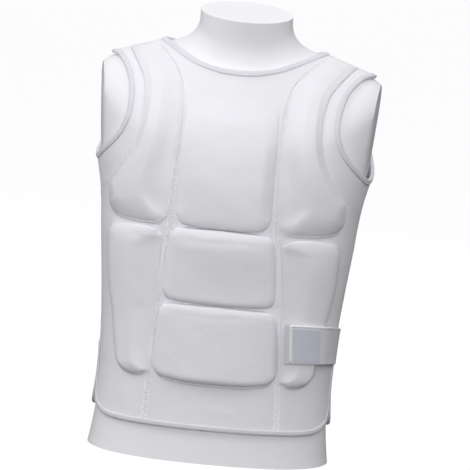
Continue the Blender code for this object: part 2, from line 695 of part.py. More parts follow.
def form_mesh():
    """The dress form before its cuts: meridians from the base to above the neck cut."""
    turns = np.linspace(0.0, 360.0, FORM_COLUMNS, endpoint=False)
    heights = np.concatenate([np.linspace(0.0, FORM_SAMPLES_TO, 60, endpoint=False),
                              np.linspace(FORM_SAMPLES_TO, FORM_SAMPLES_TOP, 200)])
    wall = np.linspace(0.0, FORM_SHOULDER_START, FORM_WALL_ROWS, endpoint=False)
    shoulder = np.linspace(FORM_SHOULDER_START, 1.0, FORM_SHOULDER_ROWS + 1)
    fractions = np.concatenate([wall, shoulder])
    columns = [along(turned_points(np.full_like(heights, turn), heights, -FORM_EASE), fractions)
               for turn in turns]
    points = np.stack(columns, axis=1).reshape(-1, 3)
    rows = len(fractions)
    faces = []
    for i in range(rows - 1):
        for j in range(FORM_COLUMNS):
            k = (j + 1) % FORM_COLUMNS
            here, above = i * FORM_COLUMNS, (i + 1) * FORM_COLUMNS
            faces.append((here + j, here + k, above + k, above + j))
    faces.append(tuple(range(FORM_COLUMNS))[::-1])
    faces.append(tuple((rows - 1) * FORM_COLUMNS + j for j in range(FORM_COLUMNS)))
    return points, faces


def cut_flat(item, point, direction, above):
    """Cut away what lies beyond a plane, over a height, and close the cut with one flat face."""
    work = bmesh.new()
    work.from_mesh(item.data)
    faces = [face for face in work.faces if min(v.co.z for v in face.verts) > above * MM]
    edges = {edge for face in faces for edge in face.edges}
    corners = {corner for face in faces for corner in face.verts}
    geometry = sorted(corners, key=lambda v: v.index)
    geometry += sorted(edges, key=lambda e: e.index) + faces
    cut = bmesh.ops.bisect_plane(work, geom=geometry, dist=1e-6, plane_co=point * MM,
                                 plane_no=direction, clear_outer=True)
    rim = [edge for edge in cut["geom_cut"] if isinstance(edge, bmesh.types.BMEdge)]
    bmesh.ops.contextual_create(work, geom=rim)
    bmesh.ops.recalc_face_normals(work, faces=work.faces)
    work.to_mesh(item.data)
    work.free()


def build_form(made_of):
    """Limbless torso form with flat cuts at the neck and the arms."""
    form = add_object("torso_form", form_mesh(), made_of)
    lean = np.radians(NECK_CUT_LEAN)
    cut_flat(form, Vector((0.0, NECK_CUT_Y, NECK_CUT_HEIGHT)),
             Vector((0.0, -np.sin(lean), np.cos(lean))), ARM_CUT_LOW)
    forward, lean = np.radians(ARM_CUT_FORWARD), np.radians(ARM_CUT_LEAN)
    for side in (-1.0, 1.0):
        direction = Vector((side * np.cos(forward), -np.sin(forward), -np.sin(lean)))
        point = Vector((side * ARM_CUT_X, 0.0, ARM_CUT_HEIGHT))
        cut_flat(form, point, direction.normalized(), ARM_CUT_LOW)
    return form


def even_bend(curve, cells):
    """Points of a curve at steps that share out both its length and its bends."""
    step = np.diff(curve, axis=0)
    length = np.linalg.norm(step, axis=1)
    direction = step / length[:, None]
    turn = np.arccos(np.clip(np.sum(direction[1:] * direction[:-1], axis=1), -1.0, 1.0))
    turn = np.concatenate([[0.0], turn]) + 1e-6
    cost = np.concatenate([[0.0], np.cumsum(length / length.sum() + BEND_SHARE * turn / turn.sum())])
    stops = np.interp(np.linspace(0.0, cost[-1], cells + 1), cost, lengths_along(curve))
    return along(curve, stops)


def nearest(curve, point):
    """Index of a curve's point that is nearest to another point."""
    return int(np.argmin(np.linalg.norm(curve - point, axis=1)))


def ridge(start, end, cells):
    """Shoulder seam between two of its points."""
    share = np.linspace(0.0, 1.0, cells + 1)[:, None]
    return settle(start + (end - start) * share)


class Seams:
    """Sampled seams and edges on the wearer's left, each shared by the pieces beside it."""

    def __init__(self):
        cells = SEAM_CELLS
        self.centre = even_bend(smooth_curve(CENTRE_SEAM), cells["centre"])
        self.arm_seam = even_bend(smooth_curve(ARMHOLE_SEAM), cells["arm_seam"])
        self.arm_front = even_bend(smooth_curve(ARMHOLE_FRONT), cells["arm_front"])
        self.arm_back = even_bend(smooth_curve(ARMHOLE_BACK), cells["arm_back"])
        self.neck_front = even_bend(smooth_curve(NECKLINE_FRONT), cells["neck_front"])
        self.neck_back = even_bend(smooth_curve(NECKLINE_BACK), cells["neck_back"])
        self.front_vent = even_bend(smooth_curve(FRONT_VENT), cells["vent"])
        self.back_vent = even_bend(smooth_curve(BACK_VENT), cells["vent"])
        self.front_hem = even_bend(smooth_curve(FRONT_HEM), cells["front_hem"])
        self.centre_hem = even_bend(smooth_curve(CENTRE_HEM), cells["centre_hem"])
        self.back_hem = even_bend(smooth_curve(BACK_HEM), cells["back_hem"])
        side = smooth_curve(SIDE_SEAM, 400)
        split = nearest(side, self.arm_seam[0])
        side[split] = self.arm_seam[0]
        self.side_low = even_bend(side[:split + 1], cells["side_low"])
        self.side_high = even_bend(side[split:], cells["side_high"])
        neck, middle = self.neck_front[0], self.centre[-1]
        sleeve, edge = self.arm_seam[-1], self.arm_front[-1]
        self.shoulder_neck = ridge(neck, middle, cells["shoulder_neck"])
        self.shoulder_pec = ridge(middle, sleeve, cells["shoulder_pec"])
        self.shoulder_yoke = ridge(sleeve, edge, cells["shoulder_yoke"])


class Panels:
    """The base cloth panels on the wearer's left and those across the middle."""

    def __init__(self, seams):
        chart = Chart()
        left = seams
        self.front_centre = Panel(
            chart, False, 0.0,
            (whole(left.centre_hem), BOUND_ROW), (left.centre, SEAM_ROW),
            (left.shoulder_neck[::-1], SEAM_ROW), (left.neck_front, BOUND_ROW),
            (mirrored(left.neck_front[::-1]), BOUND_ROW),
            (mirrored(left.shoulder_neck), SEAM_ROW), (mirrored(left.centre[::-1]), SEAM_ROW))
        self.front_side = Panel(
            chart, False, 45.0,
            (left.front_hem, BOUND_ROW), (left.front_vent, BOUND_ROW), (left.side_low, SEAM_ROW),
            (left.arm_seam, SEAM_ROW), (left.shoulder_pec[::-1], SEAM_ROW),
            (left.centre[::-1], SEAM_ROW))
        self.yoke = Panel(
            chart, False, 70.0,
            (left.side_high, SEAM_ROW), (left.arm_front, BOUND_ROW),
            (left.shoulder_yoke[::-1], SEAM_ROW), (left.arm_seam[::-1], SEAM_ROW))
        half = ((left.arm_back[::-1], BOUND_ROW), (left.side_high[::-1], SEAM_ROW),
                (left.side_low[::-1], SEAM_ROW), (left.back_vent[::-1], BOUND_ROW),
                (left.back_hem, BOUND_ROW))
        other = tuple((mirrored(curve[::-1]), width) for curve, width in half[::-1])
        shoulder = ((left.shoulder_neck, SEAM_ROW), (left.shoulder_pec, SEAM_ROW),
                    (left.shoulder_yoke, SEAM_ROW))
        far_shoulder = tuple((mirrored(curve[::-1]), width) for curve, width in shoulder[::-1])
        self.back = Panel(chart, True, 180.0, *half, *other, *far_shoulder,
                          (mirrored(left.neck_back), BOUND_ROW),
                          (left.neck_back[::-1], BOUND_ROW), *shoulder)


def add_pair(name, mesh, made_of):
    """A piece on the wearer's left and its mirror image on the right."""
    add_object(name + "_left", mesh, made_of)
    add_object(name + "_right", mirrored_mesh(mesh), made_of)


def centre_pad(bottom, side, top, corner, cells):
    """Pad that crosses the middle, from its borders on the wearer's left."""
    lower = smooth_curve(front_points(bottom), 60)
    upper = smooth_curve(front_points(top), 60)
    right = smooth_curve(front_points(side), 60)
    return pad_mesh(whole(lower), whole(upper), mirrored(right), right, corner, cells,
                    PAD_THICKNESS)


def beside(curve, distance):
    """Curve at a distance to the left of another on the surface."""
    step = np.gradient(curve, axis=0)
    step /= np.linalg.norm(step, axis=1, keepdims=True)
    return settle(curve + np.cross(normals_at(curve), step) * distance)


def pec_pad():
    """Upper side pad, between the centre seam and the armhole seam."""
    bottom = smooth_curve(front_points(PEC_BOTTOM), 60)
    inner = beside(smooth_curve(CENTRE_SEAM), -PEC_INSET_INNER)
    starts = PEC_BOTTOM[0][1] + PEC_INNER_START
    inner = inner[(inner[:, 2] > starts) & (inner[:, 1] < PEC_INNER_END)]
    left = smooth_curve(np.concatenate([bottom[:1], inner[::PEC_STRIDE], PEC_TOP_CORNER]), 90)
    outer = beside(smooth_curve(ARMHOLE_SEAM), PEC_INSET_OUTER)
    outer = outer[(outer[:, 0] < PEC_OUTER_START) & (outer[:, 1] < PEC_OUTER_END)]
    low = front_points(PEC_SIDE_LOW)
    right = smooth_curve(np.concatenate([low, outer[::PEC_STRIDE], outer[-1:]]), 90)
    share = np.linspace(0.0, 1.0, 20)[:, None]
    top = settle(left[-1] + (right[-1] - left[-1]) * share)
    return pad_mesh(bottom, top, left, right, PEC_CORNER, PEC_CELLS, pec_thickness)


def pec_thickness(height):
    """The upper side pad thins out towards the shoulder."""
    share = np.clip((height - PEC_THIN_LOW) / (PEC_THIN_HIGH - PEC_THIN_LOW), 0.0, 1.0)
    share = share * share * (3.0 - 2.0 * share)
    return PAD_THICKNESS + (PEC_TOP_THICKNESS - PAD_THICKNESS) * share


def side_pad():
    """Lower side pad."""
    bottom = smooth_curve(front_points(SIDE_PAD_BOTTOM), 60)
    top = smooth_curve(front_points(SIDE_PAD_TOP), 60)
    left = smooth_curve(front_points(SIDE_PAD_INNER), 60)
    right = smooth_curve(front_points(SIDE_PAD_OUTER), 60)
    return pad_mesh(bottom, top, left, right, SIDE_CORNER, SIDE_CELLS, PAD_THICKNESS)


def strap_grid(start, end, columns, margin=0.0):
    """Surface points under a length of the strap, start and end as turns in degrees."""
    turns = np.linspace(start, end, columns)
    middle = table_value(turns, STRAP_LINE, 1)
    reach = STRAP_WIDTH * 0.5 - margin
    share = np.linspace(-1.0, 1.0, STRAP_ROWS)
    turn_grid, share_grid = np.meshgrid(turns, share)
    heights = middle[None, :] + share_grid * reach
    return turned_points(turn_grid - STRAP_SKEW * share_grid, heights)


def strap_lift(grid):
    """Height of the strap's inner face: over the pad in front, then down to the cloth."""
    turns = np.degrees(np.arctan2(grid[..., 0], RIDGE_Y - grid[..., 1]))
    share = np.clip((turns - STRAP_LEAVES_PAD) / (STRAP_MEETS_CLOTH - STRAP_LEAVES_PAD), 0.0, 1.0)
    past = (turns - STRAP_PAST_BINDING) / (STRAP_ON_CLOTH - STRAP_PAST_BINDING)
    over_binding = BINDING_CLEARANCE + BINDING_WALL + LAYER_GAP
    cloth = CLOTH_HIGH + LAYER_GAP + (over_binding - LAYER_GAP) * (1.0 - np.clip(past, 0.0, 1.0))
    return cloth + (STRAP_PAD_LOW - cloth) * (1.0 - share) ** 2


def build_strap(webbing, patch_cloth, loop_cloth):
    """Side strap on the wearer's left, its bare patch and its landing patch."""
    grid = strap_grid(STRAP_START, STRAP_END, STRAP_COLUMNS)
    low = strap_lift(grid)
    add_object("waist_strap", wall_mesh(grid, low, low + STRAP_THICKNESS), webbing)
    grid = strap_grid(PATCH_START, PATCH_END, PATCH_COLUMNS, margin=PATCH_MARGIN)
    low = strap_lift(grid) + STRAP_THICKNESS + LAYER_GAP
    add_object("strap_patch", wall_mesh(grid, low, low + PATCH_THICKNESS), patch_cloth)
    grid = strap_grid(LANDING_START, LANDING_END, LANDING_COLUMNS, margin=-LANDING_MARGIN)
    low = np.full(grid.shape[:2], PAD_LOW + PAD_THICKNESS + LAYER_GAP)
    add_object("landing_patch", wall_mesh(grid, low, low + LANDING_THICKNESS), loop_cloth)


class Edge:
    """A run of cloth edge to be bound, with the cloth on its left seen from outside."""

    def __init__(self, points, inner, lean=True):
        self.points, self.inner = points, inner
        self.leans = np.full(len(points), lean)

    def __add__(self, other):
        both = Edge(np.concatenate([self.points, other.points]),
                    np.concatenate([self.inner, other.inner]))
        both.leans = np.concatenate([self.leans, other.leans])
        return both

    def below(self, height):
        """The part of the run that lies below a height."""
        keep = self.points[:, 2] < height
        kept = Edge(self.points[keep], self.inner[keep])
        kept.leans = self.leans[keep]
        return kept

    def mirrored(self):
        """The same run on the other side, walked the other way."""
        turned = Edge(mirrored(self.points[::-1]), mirrored(self.inner[::-1]))
        turned.leans = np.roll(~self.leans[::-1], -1)
        return turned

    def mesh(self, closed):
        """The binding around this run."""
        return binding_mesh(self.points, self.inner, self.leans, closed)


def build_bindings(panels, made_of):
    """Folded bindings of the neckline, both armholes, the hems and the vents."""
    front, side, yoke, back = panels.front_centre, panels.front_side, panels.yoke, panels.back
    neck = front.run(3, 4) + back.run(13, 14)
    add_object("neck_binding", neck.mesh(closed=True), made_of)
    left_arm = yoke.run(1, 1) + back.run(0, 0)
    right_arm = back.run(9, 9) + yoke.run(1, 1).mirrored()
    add_object("armhole_binding_left", left_arm.mesh(closed=True), made_of)
    add_object("armhole_binding_right", right_arm.mesh(closed=True), made_of)
    side_hem = side.run(0, 1).below(BINDING_TOP)
    front_hem = side_hem.mirrored() + front.run(0, 0) + side_hem
    add_object("hem_binding_front", front_hem.mesh(closed=False), made_of)
    back_hem = back.run(3, 6).below(BINDING_TOP)
    add_object("hem_binding_back", back_hem.mesh(closed=False), made_of)


def main():
    """Build every piece."""
    for item in list(bpy.data.objects):
        bpy.data.objects.remove(item, do_unlink=True)
    form_white = material("satin white form", (0.80, 0.80, 0.82), 0.38)
    knit = material("white laminated knit", (0.80, 0.80, 0.83), 0.62, sheen=0.3)
    pad_knit = material("white padded knit", (0.78, 0.78, 0.81), 0.60, sheen=0.3)
    stretch = material("white stretch knit", (0.82, 0.82, 0.85), 0.68, sheen=0.4)
    tape = material("white binding tape", (0.83, 0.83, 0.86), 0.66, sheen=0.3)
    webbing = material("white elastic webbing", (0.62, 0.63, 0.65), 0.72)
    patch_cloth = material("grey blue patch", (0.40, 0.43, 0.50), 0.80)
    loop_cloth = material("white loop tape", (0.66, 0.66, 0.68), 0.85, sheen=0.5)

    build_form(form_white)
    panels = Panels(Seams())
    add_object("front_center", panels.front_centre.mesh(), knit)
    add_pair("front_side", panels.front_side.mesh(), knit)
    add_pair("yoke", panels.yoke.mesh(), stretch)
    add_object("back_panel", panels.back.mesh(), knit)
    build_bindings(panels, tape)
    chest = centre_pad(CHEST_BOTTOM, CHEST_SIDE, CHEST_TOP, CHEST_CORNER, CHEST_CELLS)
    add_object("chest_pad", chest, pad_knit)
    upper = centre_pad(UPPER_BELLY_BOTTOM, UPPER_BELLY_SIDE, UPPER_BELLY_TOP,
                       UPPER_BELLY_CORNER, UPPER_BELLY_CELLS)
    add_object("upper_belly_pad", upper, pad_knit)
    lower = centre_pad(LOWER_BELLY_BOTTOM, LOWER_BELLY_SIDE, LOWER_BELLY_TOP,
                       LOWER_BELLY_CORNER, LOWER_BELLY_CELLS)
    add_object("lower_belly_pad", lower, pad_knit)
    add_pair("pec_pad", pec_pad(), pad_knit)
    add_pair("side_pad", side_pad(), pad_knit)
    build_strap(webbing, patch_cloth, loop_cloth)


main()
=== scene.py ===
"""Karate chest protector on a limbless torso dress form, dressed for its photograph.

Lengths in the classes are millimetres in the row frame: +X is the wearer's left, -Y the front
and +Z up. ``place`` turns the torso's pose on and changes millimetres into metres.
"""
import logging
import math
from dataclasses import astuple, dataclass, field
from enum import Enum
from functools import lru_cache
from typing import Callable, Optional, Sequence, Union

import bmesh
import bpy
import numpy as np
from mathutils import Matrix, Vector
from mathutils.geometry import delaunay_2d_cdt


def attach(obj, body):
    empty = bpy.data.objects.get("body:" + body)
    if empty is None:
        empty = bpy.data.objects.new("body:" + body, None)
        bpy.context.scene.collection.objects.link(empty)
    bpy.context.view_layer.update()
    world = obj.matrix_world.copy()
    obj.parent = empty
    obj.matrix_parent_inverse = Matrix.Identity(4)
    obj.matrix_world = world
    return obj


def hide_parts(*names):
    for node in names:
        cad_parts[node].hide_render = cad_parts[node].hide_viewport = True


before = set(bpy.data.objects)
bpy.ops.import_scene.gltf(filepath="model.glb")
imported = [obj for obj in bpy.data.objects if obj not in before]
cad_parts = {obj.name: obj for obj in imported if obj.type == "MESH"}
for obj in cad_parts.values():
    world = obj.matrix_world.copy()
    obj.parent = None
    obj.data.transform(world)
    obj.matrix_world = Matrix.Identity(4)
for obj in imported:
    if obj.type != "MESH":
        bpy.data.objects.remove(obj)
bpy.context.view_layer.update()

LOG = logging.getLogger("chest_protector")
MM = 0.001
ROOT = "root"
# Points worked on at a time, so that distances to a long line fit in memory.
CHUNK = 2000
Array = np.ndarray
Pair = tuple[float, float]
Triple = tuple[float, float, float]
Face = tuple[int, ...]
Mesh = tuple[Array, list[Face]]
Amount = Union[float, Array]
Relief = Callable[[Array], Array]
Tree = bpy.types.NodeTree
Socket = bpy.types.NodeSocket
Item = bpy.types.Object


class Side(Enum):
    """The wearer's side that a paired piece is on, as the sign of its x."""

    LEFT = 1
    RIGHT = -1

    @property
    def word(self) -> str:
        """Ending of the names of the pieces on this side."""
        return self.name.lower()

    @property
    def flip(self) -> Array:
        """Factors that take points of the left side to this side."""
        return np.array((float(self.value), 1.0, 1.0))


class Held(Enum):
    """How a sheet of cloth is held."""

    STRETCHED = "stretched"
    LAID = "laid"


def smoothstep(low: float, high: float, value: Amount) -> Amount:
    """Rise from 0 at low to 1 at high, level at both ends."""
    share = np.clip((value - low) / (high - low), 0.0, 1.0)
    return share * share * (3.0 - 2.0 * share)


def unit(vectors: Array) -> Array:
    """Vectors scaled to length one."""
    return vectors / np.maximum(np.linalg.norm(vectors, axis=-1, keepdims=True), 1e-12)


def table_value(at: Array, table: Array, column: int) -> Array:
    """Smooth value of one column of a table, at values of its first column."""
    knots, values = table[:, 0], table[:, column]
    at = np.clip(at, knots[0], knots[-1] - 1e-6)
    row = np.clip(np.searchsorted(knots, at, side="right") - 1, 0, len(knots) - 2)
    slopes = np.gradient(values, knots)
    span = knots[row + 1] - knots[row]
    u = (at - knots[row]) / span
    start = (2 * u**3 - 3 * u**2 + 1) * values[row] + (u**3 - 2 * u**2 + u) * span * slopes[row]
    end = (3 * u**2 - 2 * u**3) * values[row + 1] + (u**3 - u**2) * span * slopes[row + 1]
    return start + end


def smooth_max(a: Array, b: Array, width: float) -> Array:
    """Larger of two values, blended over a width where they are close."""
    mix = np.clip(0.5 + 0.5 * (a - b) / width, 0.0, 1.0)
    return b + (a - b) * mix + width * mix * (1.0 - mix)


@dataclass(frozen=True)
class Torso:
    """Smooth surface of the dress form, which every piece of cloth is drawn on."""

    sections: tuple = (
        (-30, 172, 102, 113), (0, 165, 100.5, 109), (30, 160.5, 99.5, 103),
        (60, 157.5, 98.8, 96.5), (100, 154.6, 98, 89), (140, 155.2, 98.5, 85),
        (190, 157.8, 101, 87), (240, 162.2, 105, 93.5), (290, 167.2, 109.5, 100.5),
        (340, 171.8, 113.5, 107), (370, 176.8, 114.5, 109.5), (400, 184, 113, 110),
        (440, 192, 110, 109), (480, 197, 106, 106), (520, 200, 103, 103),
        (620, 200, 100, 100),
    )
    power: float = 2.35
    ridge_y: float = 6.0
    ridge_height: float = 587.5
    ridge_slope: float = 0.345
    ridge_round: float = 30.0
    ridge_radius: float = 54.0
    shoulder_scale: float = 0.92
    shoulder_blend: float = 24.0
    neck_half_width: float = 62.5
    neck_half_depth: float = 60.0
    neck_y: float = -2.0
    neck_lean: float = 0.24
    neck_lean_from: float = 520.0
    neck_blend: float = 30.0
    neck_root: float = 515.0
    neck_root_fade: float = 0.8
    flare_top: float = 560.0
    flare_span: float = 60.0
    flare_width: float = 5.0
    flare_depth: float = 4.0
    turn_degrees: float = 4.3
    turn_low: float = 50.0
    turn_high: float = 420.0
    farthest: float = 290.0
    foremost: float = -190.0
    halvings: int = 30
    settlings: int = 7

    def value(self, points: Array) -> Array:
        """Roughly the distance of points outside the surface, negative inside."""
        x, y, z = points[..., 0], points[..., 1], points[..., 2]
        table = np.array(self.sections)
        half_width = table_value(z, table, 1)
        front = table_value(z, table, 2) + self.ridge_y
        back = table_value(z, table, 3) - self.ridge_y
        depth = np.where(y < self.ridge_y, front, back)
        ratio = (np.abs(x) / half_width) ** self.power
        ratio = ratio + (np.abs(y - self.ridge_y) / depth) ** self.power
        wall = (ratio ** (1.0 / self.power) - 1.0) * np.sqrt(half_width * depth)
        ridge = self.ridge_height - self.ridge_slope * np.sqrt(x * x + self.ridge_round**2)
        top = z - ridge + (y - self.ridge_y) ** 2 / (2.0 * self.ridge_radius)
        torso = smooth_max(wall, top * self.shoulder_scale, self.shoulder_blend)
        flare = np.clip((self.flare_top - z) / self.flare_span, 0.0, 2.0)
        middle = self.neck_y - self.neck_lean * (z - self.neck_lean_from)
        across = x / (self.neck_half_width + self.flare_width * flare**2)
        forward = (y - middle) / (self.neck_half_depth + self.flare_depth * flare)
        neck = (np.sqrt(across**2 + forward**2) - 1.0) * self.neck_half_width
        neck = neck + self.neck_root_fade * np.maximum(self.neck_root - z, 0.0)
        return -smooth_max(-torso, -neck, self.neck_blend)

    def slope(self, points: Array) -> Array:
        """Gradient of value, by small differences."""
        step = 0.2
        parts = [(self.value(points + axis * step) - self.value(points - axis * step))
                 / (2.0 * step) for axis in np.eye(3)]
        return np.stack(parts, axis=-1)

    def normals(self, points: Array) -> Array:
        """Outward unit normals."""
        return unit(self.slope(points))

    def settle(self, points: Array) -> Array:
        """Nearest points on the surface."""
        points = np.array(points, dtype=float)
        for _ in range(self.settlings):
            slope = self.slope(points)
            value = self.value(points)[..., None]
            points = points - slope * value / np.sum(slope * slope, axis=-1, keepdims=True)
        return points

    def turned(self, turns: Array, heights: Array, level: float = 0.0) -> Array:
        """Points found by going out from the body's axis.

        Args:
            turns: Turns from the front, in degrees towards +X.
            heights: Heights of the points.
            level: Height over the surface at which they lie.

        Returns:
            The points.
        """
        angle = np.radians(turns)
        low, high = np.zeros_like(angle), np.full_like(angle, self.farthest)
        for _ in range(self.halvings):
            middle = 0.5 * (low + high)
            at = np.stack([middle * np.sin(angle), self.ridge_y - middle * np.cos(angle),
                           heights], axis=-1)
            inside = self.value(at) < level
            low, high = np.where(inside, middle, low), np.where(inside, high, middle)
        return np.stack([high * np.sin(angle), self.ridge_y - high * np.cos(angle), heights],
                        axis=-1)

    def from_front(self, outline: Sequence[Pair], lift: float = 9.0) -> Array:
        """Surface points under an outline seen from the front.

        Args:
            outline: Its x and z.
            lift: Height over the surface at which the outline is seen, as a pad's face is.

        Returns:
            The surface points.
        """
        places = np.array(outline, dtype=float)
        low, high = np.full(len(places), self.foremost), np.full(len(places), self.ridge_y)
        for _ in range(self.halvings):
            middle = 0.5 * (low + high)
            at = np.stack([places[:, 0], middle, places[:, 1]], axis=-1)
            outside = self.value(at) > lift
            low, high = np.where(outside, middle, low), np.where(outside, high, middle)
        return self.settle(np.stack([places[:, 0], high, places[:, 1]], axis=-1))

    def turns_of(self, points: Array) -> Array:
        """Turns of points from the front, in degrees towards +X."""
        return np.degrees(np.arctan2(points[..., 0], self.ridge_y - points[..., 1]))

    def posed(self, points: Array) -> Array:
        """Points after the torso's turn about the vertical."""
        share = smoothstep(self.turn_low, self.turn_high, points[:, 2])
        angle = math.radians(self.turn_degrees) * share
        cos, sin = np.cos(angle), np.sin(angle)
        x, y, z = points.T
        return np.stack([cos * x + sin * y, cos * y - sin * x, z], axis=-1)


TORSO = Torso()


@dataclass(frozen=True)
class Layers:
    """Heights of the layers over the form's surface, and the clearances between them."""

    form: float = -0.8
    cloth_low: float = 1.6
    cloth_high: float = 4.0
    cloth_least: float = 0.25
    seam_gap: float = 0.3
    pad_low: float = 4.95
    pad_thickness: float = 9.0
    binding_clearance: float = 0.35
    binding_wall: float = 0.8
    binding_depth: float = 6.4
    bound_row: float = 7.6
    seam_row: float = 4.0
    strap_gap: float = 0.5


LAYERS = Layers()


def length_of(curve: Array) -> float:
    """Length of a polyline."""
    return float(np.linalg.norm(np.diff(curve, axis=0), axis=1).sum())


def shares_along(curve: Array) -> Array:
    """Running length of a polyline, from 0 to 1."""
    total = np.concatenate([[0.0], np.cumsum(np.linalg.norm(np.diff(curve, axis=0), axis=1))])
    return total / total[-1]


def along(curve: Array, shares: Array) -> Array:
    """Points of a polyline at shares of its length."""
    knots = shares_along(curve)
    return np.stack([np.interp(shares, knots, curve[:, axis]) for axis in range(3)], axis=-1)


def evenly(curve: Array, spacing: float) -> Array:
    """Points of a polyline at even steps of about a spacing."""
    cells = max(2, round(length_of(curve) / spacing))
    return along(curve, np.linspace(0.0, 1.0, cells + 1))


def smooth_curve(points: Sequence, count: int = 240) -> Array:
    """Dense smooth curve on the torso's surface through a few points."""
    knots = TORSO.settle(np.array(points, dtype=float))
    table = np.column_stack([shares_along(knots), knots])
    fine = np.linspace(0.0, 1.0, count)
    curve = np.stack([table_value(fine, table, axis) for axis in (1, 2, 3)], axis=-1)
    curve[-1] = knots[-1]
    return TORSO.settle(curve)


def thinned(curve: Array, step: int = 4) -> Array:
    """Every few points of a dense curve, with its last one."""
    return np.concatenate([curve[:-1:step], curve[-1:]])


def picked(curve: Array, count: int) -> Array:
    """A few points of a dense curve, spread from its first to its last."""
    return curve[np.linspace(0, len(curve) - 1, count).round().astype(int)]


def mirrored(points: Array) -> Array:
    """The same points on the other side of the body."""
    return points * np.array((-1.0, 1.0, 1.0))


def whole(half: Array) -> Array:
    """Curve from the wearer's right to the left, from the half that runs out to the left."""
    return np.concatenate([mirrored(half[::-1]), half[1:]])


def near_line(points: Array, line: Array) -> tuple[Array, Array]:
    """Distance of points from a polyline, and the running length of the nearest place on it."""
    start, step = line[:-1], np.diff(line, axis=0)
    size = np.maximum(np.sum(step * step, axis=1), 1e-12)
    run = np.concatenate([[0.0], np.cumsum(np.sqrt(size))])
    away, reached = np.empty(len(points)), np.empty(len(points))
    for low in range(0, len(points), CHUNK):
        part = slice(low, low + CHUNK)
        chunk = points[part, None, :]
        share = np.clip(np.sum((chunk - start) * step, axis=2) / size, 0.0, 1.0)
        gap = np.linalg.norm(chunk - start - share[..., None] * step, axis=2)
        best = np.argmin(gap, axis=1)
        rows = np.arange(len(best))
        away[part] = gap[rows, best]
        reached[part] = run[best] + share[rows, best] * np.sqrt(size[best])
    return away, reached


@dataclass(frozen=True)
class Wave:
    """A sine wave through the body, with its start and how far a seed moves that."""

    pace: Triple
    phase: float = 0.0
    seeded: float = 1.0

    def height(self, places: Array, seed: float) -> Array:
        """Height from -1 to 1 at places."""
        return np.sin(places @ np.array(self.pace) + self.phase + self.seeded * seed)


# Waves that cross each other are multiplied, and each group counts for its share.
RIPPLES = (
    (0.5, (Wave((1.0, 0.0, 0.62), seeded=1.7), Wave((0.0, -0.43, 0.81), seeded=2.3))),
    (0.3, (Wave((0.71, 0.0, 1.67), 0.5), Wave((-0.59, 1.31, 0.0), seeded=1.1))),
    (0.35, (Wave((0.47, 0.37, -0.93), seeded=3.1),)),
)


def ripple(points: Array, size: float, seed: float = 0.0) -> Array:
    """Uneven soft waves, the same ones each run.

    Args:
        points: Places on the body.
        size: Size of a bump in mm.
        seed: Number that picks the waves.

    Returns:
        Height from about -1 to 1 at each place.
    """
    places = points / size * math.pi
    return sum(share * np.prod([wave.height(places, seed) for wave in group], axis=0)
               for share, group in RIPPLES)


@lru_cache(maxsize=None)
def crease_line(places: tuple, count: int = 24) -> Array:
    """Line of a crease on the torso, found once."""
    return smooth_curve(places, count)


@dataclass(frozen=True)
class Crease:
    """A soft ridge or trough that a hand would find in the cloth.

    Attributes:
        places: Points that it runs through, x y z on the torso.
        width: Half width in mm.
        height: Height in mm, negative for a trough.
        ending: Power of the sine that brings it down to nothing at both ends.
        unevenness: Share by which its height comes and goes, at a pace in radians a mm.
        far: Half widths past its length at which nothing of it is left.
    """

    places: tuple
    width: float
    height: float
    ending: float = 0.7
    unevenness: float = 0.25
    pace: float = 0.21
    far: float = 3.0

    def lift(self, points: Array) -> Array:
        """Height that the crease adds at points of the surface."""
        line = crease_line(self.places)
        reach = length_of(line) + self.far * self.width
        near = np.linalg.norm(points - line[len(line) // 2], axis=1) < reach
        lifted = np.zeros(len(points))
        if not near.any():
            return lifted
        away, run = near_line(points[near], line)
        ends = np.sin(np.pi * np.clip(run / length_of(line), 0.0, 1.0)) ** self.ending
        uneven = 1.0 + self.unevenness * np.sin(run * self.pace + self.width)
        lifted[near] = self.height * ends * uneven * np.exp(-(away / self.width) ** 2)
        return lifted


@dataclass(frozen=True)
class Valley:
    """The dip in which a seam lies, drawn tighter at some stitches than at others.

    Attributes:
        fade: Heights between which it grows shallow, if it does, down to a faded share.
        paces: Radians in each mm of the two waves whose product spaces the puckers.
        flank: Middle and half width of a flank, as shares of the half width.
    """

    line: Array
    half_width: float
    depth: float
    pucker: float = 0.12
    fade: Optional[Pair] = None
    faded: float = 0.35
    paces: Pair = (0.43, 0.171)
    phase: float = 1.3
    flank: Pair = (0.62, 0.3)

    def lift(self, points: Array) -> Array:
        """Height that the valley takes away, as a negative number."""
        away, run = near_line(points, thinned(self.line))
        share = np.clip(away / self.half_width, 0.0, 1.0)
        dip = self.depth * (0.5 + 0.5 * np.cos(np.pi * share))
        if self.fade is not None:
            dip = dip * (1.0 - (1.0 - self.faded) * smoothstep(*self.fade, points[:, 2]))
        draw = np.sin(run * self.paces[0]) * np.sin(run * self.paces[1] + self.phase)
        middle, spread = self.flank
        flank = np.exp(-((away / self.half_width - middle) / spread) ** 2)
        return -dip - self.pucker * draw * flank


